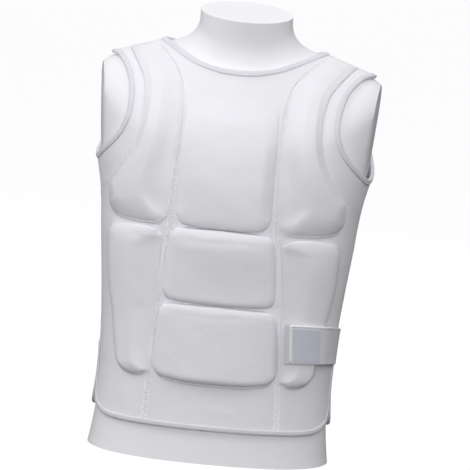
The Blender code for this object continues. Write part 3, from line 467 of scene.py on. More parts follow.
@dataclass
class Chart:
    """Flat chart of the torso: turn from the front, and length up along that turn.

    Attributes:
        radius: Width on the chart, in mm, of one radian of turn.
        turn_step: Degrees between the turns that are measured, as height_step is for heights.
    """

    radius: float = 140.0
    turn_step: float = 3.0
    height_step: float = 3.0
    top: float = 606.0

    def __post_init__(self) -> None:
        """Measure the length up along each turn."""
        self.turns = np.arange(0.0, 180.0 + self.turn_step, self.turn_step)
        self.heights = np.arange(0.0, self.top, self.height_step)
        points = TORSO.turned(*np.meshgrid(self.turns, self.heights, indexing="ij"))
        steps = np.linalg.norm(np.diff(points, axis=1), axis=2)
        start = np.zeros((len(self.turns), 1))
        self.lengths = np.concatenate([start, np.cumsum(steps, axis=1)], axis=1)

    def meridian(self, turn: float) -> Array:
        """Running length at each of the chart's heights, along one turn."""
        turn = 180.0 - abs(180.0 - turn % 360.0)
        at = min(turn / self.turn_step, len(self.turns) - 1.001)
        row, share = int(at), at - int(at)
        return (1.0 - share) * self.lengths[row] + share * self.lengths[row + 1]

    def flatten(self, points: Array, behind: bool = False) -> Array:
        """Chart positions of surface points; behind is true for a panel of the back."""
        turns = TORSO.turns_of(points)
        turns = turns % 360.0 if behind else turns
        lengths = [np.interp(z, self.heights, self.meridian(turn))
                   for turn, z in zip(turns, points[:, 2])]
        return np.stack([np.radians(turns) * self.radius, lengths], axis=-1)

    def lift(self, places: Array) -> Array:
        """Surface points at chart positions."""
        turns = np.degrees(places[:, 0] / self.radius)
        heights = [np.interp(length, self.meridian(turn), self.heights)
                   for turn, length in zip(turns, places[:, 1])]
        return TORSO.settle(TORSO.turned(turns, np.array(heights)))


CHART = Chart()


def room_inside(places: Array, ring: Array) -> Array:
    """Distance of chart positions from a closed ring around them, 0 where outside."""
    ahead = np.roll(ring, -1, axis=0)
    side = ahead - ring
    size = np.maximum(np.sum(side * side, axis=1), 1e-9)
    rise = np.where(side[:, 1] == 0.0, 1.0, side[:, 1])
    room = np.zeros(len(places))
    for low in range(0, len(places), CHUNK):
        part = slice(low, low + CHUNK)
        chunk = places[part, None, :]
        share = np.clip(np.sum((chunk - ring) * side, axis=2) / size, 0.0, 1.0)
        gap = np.linalg.norm(chunk - ring - side * share[..., None], axis=2).min(axis=1)
        crosses = (ring[:, 1] > chunk[..., 1]) != (ahead[:, 1] > chunk[..., 1])
        at = ring[:, 0] + (chunk[..., 1] - ring[:, 1]) / rise * side[:, 0]
        inside = np.sum(crosses & (at > chunk[..., 0]), axis=1) % 2 == 1
        room[part] = np.where(inside, gap, 0.0)
    return room


@dataclass
class Edge:
    """A run of cloth edge to be bound, with the cloth on its left seen from outside."""

    points: Array
    inner: Array

    def __add__(self, other: "Edge") -> "Edge":
        """This run and then another."""
        return Edge(np.concatenate([self.points, other.points]),
                    np.concatenate([self.inner, other.inner]))

    def below(self, height: float) -> "Edge":
        """The part of the run that lies below a height."""
        keep = self.points[:, 2] < height
        return Edge(self.points[keep], self.inner[keep])

    def mirrored(self) -> "Edge":
        """The same run on the other side, walked the other way."""
        return Edge(mirrored(self.points[::-1]), mirrored(self.inner[::-1]))


class ClothPanel:
    """One cut panel of cloth, as a thin closed wall of fine triangles.

    Args:
        sides: Pairs of a border curve and the width of the strip along it, anticlockwise.
        middle: Turn of the panel's middle, in degrees.
        spacing: Distance between points, in mm.
        behind: True for a panel of the back.
    """

    least_opening = 1e-3
    straight_opening = 0.05
    row_pitch = 0.87
    edge_room = 0.5
    girth_heights = (60.0, 515.0, 15.0)
    girth_band = 6.0
    girth_points = 40

    def __init__(self, sides: Sequence[tuple[Array, float]], middle: float,
                 spacing: float, behind: bool = False) -> None:
        self.behind = behind
        curves = [evenly(curve, spacing) for curve, _ in sides]
        counts = [len(curve) - 1 for curve in curves]
        self.starts = np.concatenate([[0], np.cumsum(counts)])
        plain = np.concatenate([curve[:-1] for curve in curves])
        half_gap = LAYERS.seam_gap * 0.5
        self.border = self.drawn_in(plain, np.full(len(plain), half_gap))
        self.ring = self.inner_ring([width for _, width in sides])
        flat = CHART.flatten(self.ring, behind)
        places = self.lattice(flat, math.radians(middle) * CHART.radius, spacing)
        self.points = np.concatenate([self.border, self.ring, CHART.lift(places)])
        self.faces = self.strip() + self.filling(np.concatenate([flat, places]))

    def drawn_in(self, border: Array, distances: Array) -> Array:
        """Move a closed border into its panel.

        Args:
            border: Points of the border, anticlockwise.
            distances: Distance for the side that leaves each point.

        Returns:
            The moved points, mitred at the corners.
        """
        normal = TORSO.normals(border)
        ahead = unit(np.roll(border, -1, axis=0) - border)
        inward = unit(np.cross(normal, ahead))
        before = unit(np.cross(normal, np.roll(ahead, 1, axis=0)))
        near, near_before = distances[:, None], np.roll(distances, 1)[:, None]
        overlap = np.sum(inward * before, axis=1, keepdims=True)
        opening = np.maximum(1.0 - overlap**2, self.least_opening)
        mitre = ((near - overlap * near_before) * inward
                 + (near_before - overlap * near) * before) / opening
        straight = (inward + before) / (1.0 + overlap) * 0.5 * (near + near_before)
        moved = np.where(opening < self.straight_opening, straight, mitre)
        return TORSO.settle(border + moved)

    def inner_ring(self, widths: Sequence[float]) -> Array:
        """Ring inside the border, each side shared out evenly between its own corners."""
        each = np.concatenate([np.full(self.starts[k + 1] - self.starts[k], width)
                               for k, width in enumerate(widths)])
        moved = self.drawn_in(self.border, each)
        ring = np.empty_like(moved)
        count = len(moved)
        for k in range(len(widths)):
            first, last = self.starts[k], self.starts[k + 1]
            index = np.arange(first, last + 1) % count
            side = self.border[index]
            normal = TORSO.normals(side)
            inward = unit(np.cross(normal, unit(np.gradient(side, axis=0))))
            offset = TORSO.settle(side + inward * widths[k])
            ends = [int(np.argmin(np.linalg.norm(offset - moved[i], axis=1)))
                    for i in (index[0], index[-1])]
            kept = offset[ends[0] + 1:ends[1]]
            line = np.concatenate([moved[index[:1]], kept, moved[index[-1:]]])
            ring[index[:-1]] = along(line, shares_along(side))[:-1]
        return TORSO.settle(ring)

    def lattice(self, ring: Array, middle: float, spacing: float) -> Array:
        """Chart positions spread inside a ring, in staggered rows."""
        low, high = ring.min(axis=0), ring.max(axis=0)
        reach = int(max(high[0] - middle, middle - low[0]) / spacing) + 1
        columns = middle + np.arange(-reach, reach + 1) * spacing
        rows = np.arange(low[1], high[1], spacing * self.row_pitch)
        x, z = np.meshgrid(columns, rows)
        x[1::2] += spacing / 2.0
        places = np.stack([x.ravel(), z.ravel()], axis=1)
        return places[room_inside(places, ring) > self.edge_room * spacing]

    def strip(self) -> list[Face]:
        """Triangles between the border and the ring inside it."""
        count, faces = len(self.border), []
        for here in range(count):
            ahead = (here + 1) % count
            faces += [(here, ahead, count + ahead), (here, count + ahead, count + here)]
        return faces

    def filling(self, places: Array) -> list[Face]:
        """Triangles inside the ring."""
        count = len(self.ring)
        made = delaunay_2d_cdt([Vector(place) for place in places], [], [list(range(count))],
                               1, 1e-6)
        source = [origin[0] for origin in made[3]]
        return [tuple(count + source[corner] for corner in face) for face in made[2]]

    def wall(self, relief: Relief) -> Mesh:
        """Closed wall of cloth whose face follows a relief.

        Args:
            relief: Height in mm that it adds at points of the surface.

        Returns:
            Points and faces.
        """
        normal = TORSO.normals(self.points)
        lift = relief(self.points)[:, None]
        low = np.maximum(LAYERS.cloth_low + np.minimum(lift, 0.0), LAYERS.cloth_least)
        under, count = len(self.points), len(self.border)
        points = np.concatenate([self.points + normal * (LAYERS.cloth_high + lift),
                                 self.points + normal * low])
        faces = list(self.faces) + [(under + c, under + b, under + a) for a, b, c in self.faces]
        for a in range(count):
            b = (a + 1) % count
            faces += [(a, under + a, under + b, b)]
        return points, faces

    def run(self, first: int, last: int) -> Edge:
        """Run of cloth edge from the start of one side to the end of another."""
        index = np.arange(self.starts[first], self.starts[last + 1] + 1) % len(self.border)
        return Edge(self.border[index], self.ring[index])

    def widest(self) -> float:
        """Longest run across the panel, along the surface or straight at the shoulders."""
        turns = TORSO.turns_of(self.border)
        turns = turns % 360.0 if self.behind else turns
        widest = float(np.ptp(self.border[:, 0]))
        for height in np.arange(*self.girth_heights):
            near = turns[np.abs(self.border[:, 2] - height) < self.girth_band]
            if len(near) > 1:
                arc = TORSO.turned(np.linspace(near.min(), near.max(), self.girth_points),
                                   np.full(self.girth_points, height))
                widest = max(widest, length_of(arc))
        return widest

    def cut(self) -> Triple:
        """Width, length and area of the flat cut, in metres."""
        flat = CHART.flatten(self.points, self.behind)
        width, length = self.widest() * MM, np.ptp(flat[:, 1]) * MM
        a, b, c = (self.points[[face[k] for face in self.faces]] for k in range(3))
        area = float(np.linalg.norm(np.cross(b - a, c - a), axis=1).sum() / 2.0) * MM * MM
        return width, length, area


def on_side(mesh: Mesh, side: Side) -> Mesh:
    """A mesh of the wearer's left, or its mirror image with its faces still pointing out."""
    points, faces = mesh
    return mesh if side is Side.LEFT else (mirrored(points), [face[::-1] for face in faces])


def grid_wall(grid: Array, low: Amount, high: Amount) -> Mesh:
    """Closed wall over a grid of surface points.

    Args:
        grid: The surface points, in rows.
        low: Height of its underside over the surface.
        high: Height of its face.

    Returns:
        Points and faces.
    """
    rows, columns = grid.shape[:2]
    normal = TORSO.normals(grid)
    high = np.broadcast_to(np.asarray(high, dtype=float), (rows, columns))[..., None]
    low = np.broadcast_to(np.asarray(low, dtype=float), (rows, columns))[..., None]
    points = np.concatenate([(grid + normal * high).reshape(-1, 3),
                             (grid + normal * low).reshape(-1, 3)])
    under, faces = rows * columns, []
    for i in range(rows - 1):
        for j in range(columns - 1):
            a = i * columns + j
            b, c, d = a + 1, a + columns + 1, a + columns
            faces += [(a, b, c, d), (under + d, under + c, under + b, under + a)]
    ring = list(range(columns)) + [i * columns + columns - 1 for i in range(1, rows)]
    ring += [(rows - 1) * columns + j for j in range(columns - 2, -1, -1)]
    ring += [i * columns for i in range(rows - 2, 0, -1)]
    faces += [(a, under + a, under + b, b) for a, b in zip(ring, ring[1:] + ring[:1])]
    return points, faces


def sleeve(rings: int, sides: int, closed: bool = False) -> list[Face]:
    """Faces of a tube whose points run ring by ring, anticlockwise seen from its far end.

    Args:
        rings: Number of rings.
        sides: Points of each ring.
        closed: True where the last ring meets the first, so that neither end is capped.

    Returns:
        The faces, pointing out.
    """
    faces = []
    for i in range(rings if closed else rings - 1):
        here, ahead = i * sides, (i + 1) % rings * sides
        for k in range(sides):
            m = (k + 1) % sides
            faces.append((here + k, here + m, ahead + m, ahead + k))
    if not closed:
        faces.append(tuple(range(sides))[::-1])
        faces.append(tuple((rings - 1) * sides + k for k in range(sides)))
    return faces


# A stitch's height along it: shares of its length, and heights in half thicknesses of thread.
STITCH_PROFILE = ((0.0, -0.9), (0.16, 0.35), (0.5, 0.6), (0.84, 0.35), (1.0, -0.9))
STITCH_SIDES = 5


def threads(starts: Array, ends: Array, normals: Array, radius: Amount) -> Mesh:
    """Short rounded lengths of thread that dip into the cloth at both ends.

    Args:
        starts: Where each stitch comes up, on the cloth's face.
        ends: Where each goes down.
        normals: The cloth's outward directions.
        radius: Half thickness of the thread in mm, the same or one for each.

    Returns:
        Points and faces of all the stitches.
    """
    ahead = unit(ends - starts)
    side = unit(np.cross(ahead, normals))
    thick = np.broadcast_to(np.asarray(radius, dtype=float), (len(starts),))[:, None]
    rings = []
    for share, rise in STITCH_PROFILE:
        centre = starts + (ends - starts) * share + normals * rise * thick
        for k in range(STITCH_SIDES):
            angle = 2.0 * math.pi * k / STITCH_SIDES
            rings.append(centre + thick * (math.cos(angle) * side + math.sin(angle) * normals))
    points = np.stack(rings, axis=1).reshape(-1, 3)
    one = sleeve(len(STITCH_PROFILE), STITCH_SIDES)
    faces = [tuple(base + corner for corner in face[::-1])
             for base in range(0, len(points), len(rings)) for face in one]
    return points, faces


def joined(meshes: Sequence[Mesh]) -> Mesh:
    """Several meshes as one."""
    points, faces, base = [], [], 0
    for some, parts in meshes:
        points.append(some)
        faces += [tuple(base + corner for corner in face) for face in parts]
        base += len(some)
    return np.concatenate(points), faces


def tube(path: Array, normals: Array, radii: Pair, sides: int = 8, tip: float = 0.45) -> Mesh:
    """Rounded cord along a path.

    Args:
        path: Its middle line.
        normals: The cloth's outward directions.
        radii: Half thickness across the cloth and out of it.
        sides: Points of its section.
        tip: Share of its thickness that is left at its ends.

    Returns:
        Points and faces.
    """
    ahead = unit(np.gradient(path, axis=0))
    side = unit(np.cross(ahead, normals))
    out = unit(np.cross(side, ahead))
    taper = np.ones(len(path))
    taper[[0, -1]] = tip
    rings = []
    for k in range(sides):
        angle = 2.0 * math.pi * k / sides
        rings.append(path + taper[:, None] * (radii[0] * math.cos(angle) * side
                                              + radii[1] * math.sin(angle) * out))
    points = np.stack(rings, axis=1).reshape(-1, 3)
    return points, [face[::-1] for face in sleeve(len(path), sides)]


def linear(hex_colour: str) -> tuple[float, ...]:
    """Linear colour of an sRGB hex value such as #F0F0F5."""
    parts = [int(hex_colour[k:k + 2], 16) / 255.0 for k in (1, 3, 5)]
    parts = [c / 12.92 if c <= 0.04045 else ((c + 0.055) / 1.055) ** 2.4 for c in parts]
    return (parts[0], parts[1], parts[2], 1.0)


def node(tree: Tree, kind: str, settings: Optional[dict] = None,
         links: Optional[dict] = None) -> bpy.types.Node:
    """Add a node to a tree.

    Args:
        tree: Material's or world's node tree.
        kind: Blender's name of the node's type.
        settings: Values of its sockets, or of its own attributes.
        links: Sockets that feed it, by the name of the input.

    Returns:
        The new node.
    """
    made = tree.nodes.new(kind)
    for name, value in (settings or {}).items():
        if name in made.inputs:
            made.inputs[name].default_value = value
        else:
            setattr(made, name, value)
    for name, source in (links or {}).items():
        tree.links.new(source, made.inputs[name])
    return made


@dataclass(frozen=True)
class Finish:
    """A material, from what the real one is and how its surface was made.

    Attributes:
        name: The material's common name and how it was made.
        colour: sRGB hex colour.
        shade: sRGB hex colour of its darker patches.
        roughness: Gloss, from 0 for a mirror to 1 for chalk.
        sheen: Soft light that the fibres catch at grazing angles.
        pitch: Spacing of its loops or threads in mm.
        bump: Height of the loops in mm.
        patch: Size in mm of the slow changes of its colour.
        nap: Roughness of the fibres' sheen.
    """

    name: str
    colour: str
    shade: str
    roughness: float
    sheen: float = 0.0
    pitch: float = 1.8
    bump: float = 0.10
    patch: float = 60.0
    ior: float = 1.46
    metallic: float = 0.0
    nap: float = 0.5

    def shader(self, tree: Tree, colour: Socket, height: Socket) -> None:
        """Principled shader with the colour and relief worked out by the nodes before it."""
        relief = node(tree, "ShaderNodeBump", {"Strength": 1.0, "Distance": self.bump * MM},
                      {"Height": height})
        settings = {"Roughness": self.roughness, "Sheen Weight": self.sheen,
                    "Sheen Roughness": self.nap, "Metallic": self.metallic, "IOR": self.ior}
        made = node(tree, "ShaderNodeBsdfPrincipled", settings,
                    {"Base Color": colour, "Normal": relief.outputs["Normal"]})
        node(tree, "ShaderNodeOutputMaterial", None, {"Surface": made.outputs["BSDF"]})

    def tint(self, tree: Tree, place: Socket) -> Socket:
        """Colour that drifts slowly between the finish's two shades."""
        drift = node(tree, "ShaderNodeTexNoise", {"Scale": 1.0 / (self.patch * MM),
                                                  "Detail": 3.0, "Roughness": 0.55},
                     {"Vector": place})
        mixed = node(tree, "ShaderNodeMixRGB", {"Color1": linear(self.colour),
                                                "Color2": linear(self.shade)},
                     {"Fac": drift.outputs["Fac"]})
        return mixed.outputs["Color"]

    def height(self, tree: Tree, place: Socket) -> Socket:
        """Relief of the surface, from 0 to 1."""
        grain = node(tree, "ShaderNodeTexNoise", {"Scale": 1.0 / (self.pitch * MM),
                                                  "Detail": 2.0}, {"Vector": place})
        return grain.outputs["Fac"]

    def make(self) -> bpy.types.Material:
        """The Blender material."""
        made = bpy.data.materials.new(self.name)
        made.use_nodes = True
        tree = made.node_tree
        tree.nodes.clear()
        place = node(tree, "ShaderNodeTexCoord").outputs["Object"]
        self.shader(tree, self.tint(tree, place), self.height(tree, place))
        return made


# A wave texture of scale 1 has a band every 0.314 m.
WAVE_PITCH = 0.314


@dataclass(frozen=True)
class Knit(Finish):
    """Knitted or woven face: fine bands up the cloth with others across them.

    Attributes:
        cross: Share of the bands that run across.
        grain: Share of a fine uneven grain.
        grain_pitches: Size of that grain, in pitches.
        waver: How far the bands stray from straight.
    """

    cross: float = 0.5
    grain: float = 0.45
    grain_pitches: float = 3.0
    waver: float = 0.6

    def height(self, tree: Tree, place: Socket) -> Socket:
        """Relief of both sets of bands, broken up by the grain.

        Args:
            tree: Material's node tree.
            place: Socket of the places on the object.

        Returns:
            Socket of the relief.
        """
        flat = node(tree, "ShaderNodeTexCoord").outputs["UV"]
        wales, courses = (
            node(tree, "ShaderNodeTexWave",
                 {"bands_direction": way, "Scale": WAVE_PITCH / (self.pitch * MM),
                  "Distortion": self.waver, "Detail": 1.0}, {"Vector": flat}).outputs["Fac"]
            for way in ("X", "Y"))
        loops = node(tree, "ShaderNodeMixRGB", {"Fac": self.cross},
                     {"Color1": wales, "Color2": courses})
        size = self.grain_pitches * self.pitch * MM
        grain = node(tree, "ShaderNodeTexNoise", {"Scale": 1.0 / size, "Detail": 3.0},
                     {"Vector": place})
        both = node(tree, "ShaderNodeMixRGB", {"Fac": self.grain},
                    {"Color1": loops.outputs["Color"], "Color2": grain.outputs["Fac"]})
        return both.outputs["Color"]


@dataclass(frozen=True)
class Finishes:
    """Every finish of the garment, the form and the studio.

    Real wales and cords are 0.6 to 1 mm apart. Their pitches are drawn two to three times as
    coarse, so that they show at the photograph's 1.35 mm a pixel.
    """

    # Rotomoulded plastic with a satin lacquer: an even skin with soft broad highlights.
    form: Finish = Finish("rotomoulded plastic, satin lacquered", "#F4F4F8", "#EEEEF3", 0.58,
                          pitch=9.0, bump=0.05, patch=120.0)
    # Polyester warp knit laminated to thin foam: a smooth face with a faint satin sheen.
    knit: Finish = Knit("polyester warp knit, laminated", "#EDEDF2", "#E4E4EA", 0.56, 0.25)
    # The same laminate drawn tight over foam pads.
    pad_knit: Finish = Knit("polyester warp knit, moulded over foam", "#EDEDF2", "#E5E5EB",
                            0.52, 0.25)
    # Elastane rib knit: a duller face with ribs that run up the band.
    stretch: Finish = Knit("elastane rib knit", "#EEEEF3", "#E6E6EC", 0.62, 0.35, pitch=2.2,
                           bump=0.14, cross=0.2)
    # Folded knit binding tape: narrow cross ribs and a soft edge.
    tape: Finish = Knit("folded knit binding tape", "#E2E2E8", "#D6D6DD", 0.62, 0.3, pitch=1.7,
                        bump=0.24, cross=0.8)
    # Folded satin piping along the strap: a smooth narrow roll that stays the whitest line.
    piping: Finish = Finish("satin piping, folded", "#F8F8FB", "#F0F0F5", 0.42, 0.2, pitch=1.2,
                            bump=0.05)
    # Woven elastic webbing: lengthwise cords with a grey cast between them.
    webbing: Finish = Knit("elastic webbing, woven", "#E6E7EC", "#D8D9DF", 0.66, 0.2, pitch=2.0,
                           bump=0.30, cross=0.85)
    # Brushed nylon patch: a flat dull face in a grey blue.
    patch: Finish = Knit("brushed nylon patch", "#D3D5E0", "#C8CBD7", 0.82, 0.3, pitch=1.6,
                         bump=0.12)
    # Loop tape: a napped face that scatters light.
    loop: Finish = Finish("napped loop tape", "#E2E2E7", "#CFCFD6", 0.88, 0.5, pitch=0.9,
                          bump=0.35)
    # Polyester sewing thread: a brighter, slightly glossy line.
    thread: Finish = Finish("polyester sewing thread, spun", "#FAFAFC", "#F0F0F4", 0.45, 0.1,
                            pitch=0.6, bump=0.05)
    # Matt painted board under and behind the object.
    floor: Finish = Finish("studio board, matt painted", "#8E8E92", "#8C8C90", 0.9, pitch=4.0,
                           bump=0.02, patch=900.0)


FINISHES = Finishes()
MADE: dict[str, bpy.types.Material] = {}


def material(finish: Finish) -> bpy.types.Material:
    """The material of a finish, made once."""
    if finish.name not in MADE:
        MADE[finish.name] = finish.make()
    return MADE[finish.name]


# Least distance from the body's axis, in mm, that the knit's map is drawn for.
LEAST_REACH = 60.0


def cloth_map(data: bpy.types.Mesh, points: Array) -> None:
    """Lay the cloth's flat map on a mesh, in metres, so that its knit follows the body."""
    reach = np.hypot(points[:, 0], TORSO.ridge_y - points[:, 1])
    across = np.radians(TORSO.turns_of(points)) * np.maximum(reach, LEAST_REACH).mean() * MM
    layer = data.uv_layers.new(name="cloth")
    index = np.zeros(len(data.loops), dtype=np.int32)
    data.loops.foreach_get("vertex_index", index)
    places = np.stack([across[index], points[index, 2] * MM], axis=-1)
    layer.data.foreach_set("uv", places.astype(np.float32).ravel())


def place(name: str, mesh: Mesh, finish: Finish, slot: str, nodes: Sequence[str] = (),
          sharp: float = 0.9) -> Item:
    """Add a piece to the scene, riding on the root body.

    Args:
        name: The piece's name.
        mesh: Points in mm and faces.
        finish: Its finish.
        slot: Name of a material slot in the record; not used.
        nodes: CAD nodes that it stands for.
        sharp: Angle in radians over which an edge is shaded as a corner.

    Returns:
        The new object.
    """
    points, faces = mesh
    data = bpy.data.meshes.new(name)
    data.from_pydata((TORSO.posed(points) * MM).tolist(), [], faces)
    data.shade_smooth()
    data.set_sharp_from_angle(angle=sharp)
    cloth_map(data, points)
    data.materials.append(material(finish))
    item = bpy.data.objects.new(name, data)
    bpy.context.collection.objects.link(item)
    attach(item, ROOT)
    if nodes:
        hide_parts(*nodes)
    LOG.info("%s: %d points, %d faces", name, len(points), len(faces))
    return item


class Seams:
    """Seams and edges on the wearer's left, as dense curves that the pieces share."""

    def __init__(self) -> None:
        self.centre = smooth_curve((
            (88, -90, 46.5), (87.5, -90, 75), (86, -90, 105), (84.5, -91, 135), (82.5, -92, 170),
            (79.5, -96, 205), (77, -99, 245), (73.5, -105, 281), (70.5, -109, 310),
            (69, -111, 350), (68, -112, 387), (66, -109, 420), (66, -103, 455), (68.5, -84, 487),
            (74.5, -72, 507), (85, -59.5, 523), (99, -41.5, 536), (113, -18.5, 544),
            (124.5, 6, 546.5)))
        self.arm_seam = smooth_curve((
            (175.5, 4, 338), (169, -38, 347), (157, -65, 358), (148, -77, 373), (138, -86, 389),
            (127, -93, 411), (119.5, -94, 438), (118, -88, 458), (119, -79, 480), (123, -67, 498),
            (132, -52, 513), (142.5, -33, 526.5), (150.5, -10, 535), (153, 6, 536)))
        self.arm_front = smooth_curve((
            (188, 4, 394), (186, -20, 391), (181, -38, 394), (173, -54, 402), (162, -68, 413),
            (149, -80, 430), (141, -84, 449), (139, -78, 470), (142, -67, 490), (148, -54, 506),
            (156.5, -39, 518), (165, -23, 525), (173, -9, 528), (178, 6, 528.5)))
        self.arm_back = smooth_curve((
            (188, 4, 394), (186, 30, 403), (178, 52, 424), (169, 62, 452), (165, 61, 480),
            (167, 47, 505), (172.5, 26, 522), (178, 6, 528.5)))
        self.neck_front = smooth_curve((
            (107, 6, 553), (104, -7.5, 552), (94, -26, 547.5), (77, -45.5, 539.5),
            (50, -65.5, 528.5), (25, -75, 523), (0, -78.5, 521.5)))
        self.neck_back = smooth_curve((
            (107, 6, 553), (103.5, 20, 551), (92, 36, 548), (70, 53, 544.5), (40, 64, 541.5),
            (0, 68, 540.5)))
        self.front_vent = smooth_curve((
            (150, -29, 58), (155, -21.5, 72), (156.5, -18, 90), (157, -15.5, 112),
            (157, -12.5, 138), (156, -8, 160)))
        self.back_vent = smooth_curve((
            (161.5, 5, 54), (160, -2.5, 62), (158.5, -6, 78), (157.5, -8, 105), (157, -6.5, 138),
            (156, -8, 160)))
        self.front_hem = smooth_curve((
            (88, -90, 46.5), (118, -75, 46.5), (140, -53, 48.5), (150, -29, 58)))
        self.centre_hem = smooth_curve(((0, -103, 46.5), (45, -100, 46.5), (88, -90, 46.5)))
        self.back_hem = smooth_curve((
            (161.5, 5, 54), (159, 22, 47.5), (140, 66, 46), (95, 93, 46), (45, 102, 46),
            (0, 104, 46)))
        side = smooth_curve((
            (156, -8, 160), (160, -4, 210), (167, 1, 270), (175.5, 4, 338), (188, 4, 394)), 400)
        split = int(np.argmin(np.linalg.norm(side - self.arm_seam[0], axis=1)))
        side[split] = self.arm_seam[0]
        self.side_low, self.side_high = side[:split + 1], side[split:]
        neck, middle = self.neck_front[0], self.centre[-1]
        yoke, edge = self.arm_seam[-1], self.arm_front[-1]
        self.shoulder_neck = self.ridge(neck, middle)
        self.shoulder_pec = self.ridge(middle, yoke)
        self.shoulder_yoke = self.ridge(yoke, edge)

    @staticmethod
    def ridge(start: Array, end: Array, count: int = 30) -> Array:
        """Shoulder seam between two of its points."""
        share = np.linspace(0.0, 1.0, count)[:, None]
        return TORSO.settle(start + (end - start) * share)

    def bound(self) -> list[Array]:
        """Every bound edge, on both sides."""
        left = [self.arm_front, self.arm_back, self.neck_front, self.neck_back, self.front_vent,
                self.back_vent, self.front_hem, self.centre_hem, self.back_hem]
        return left + [mirrored(curve) for curve in left]


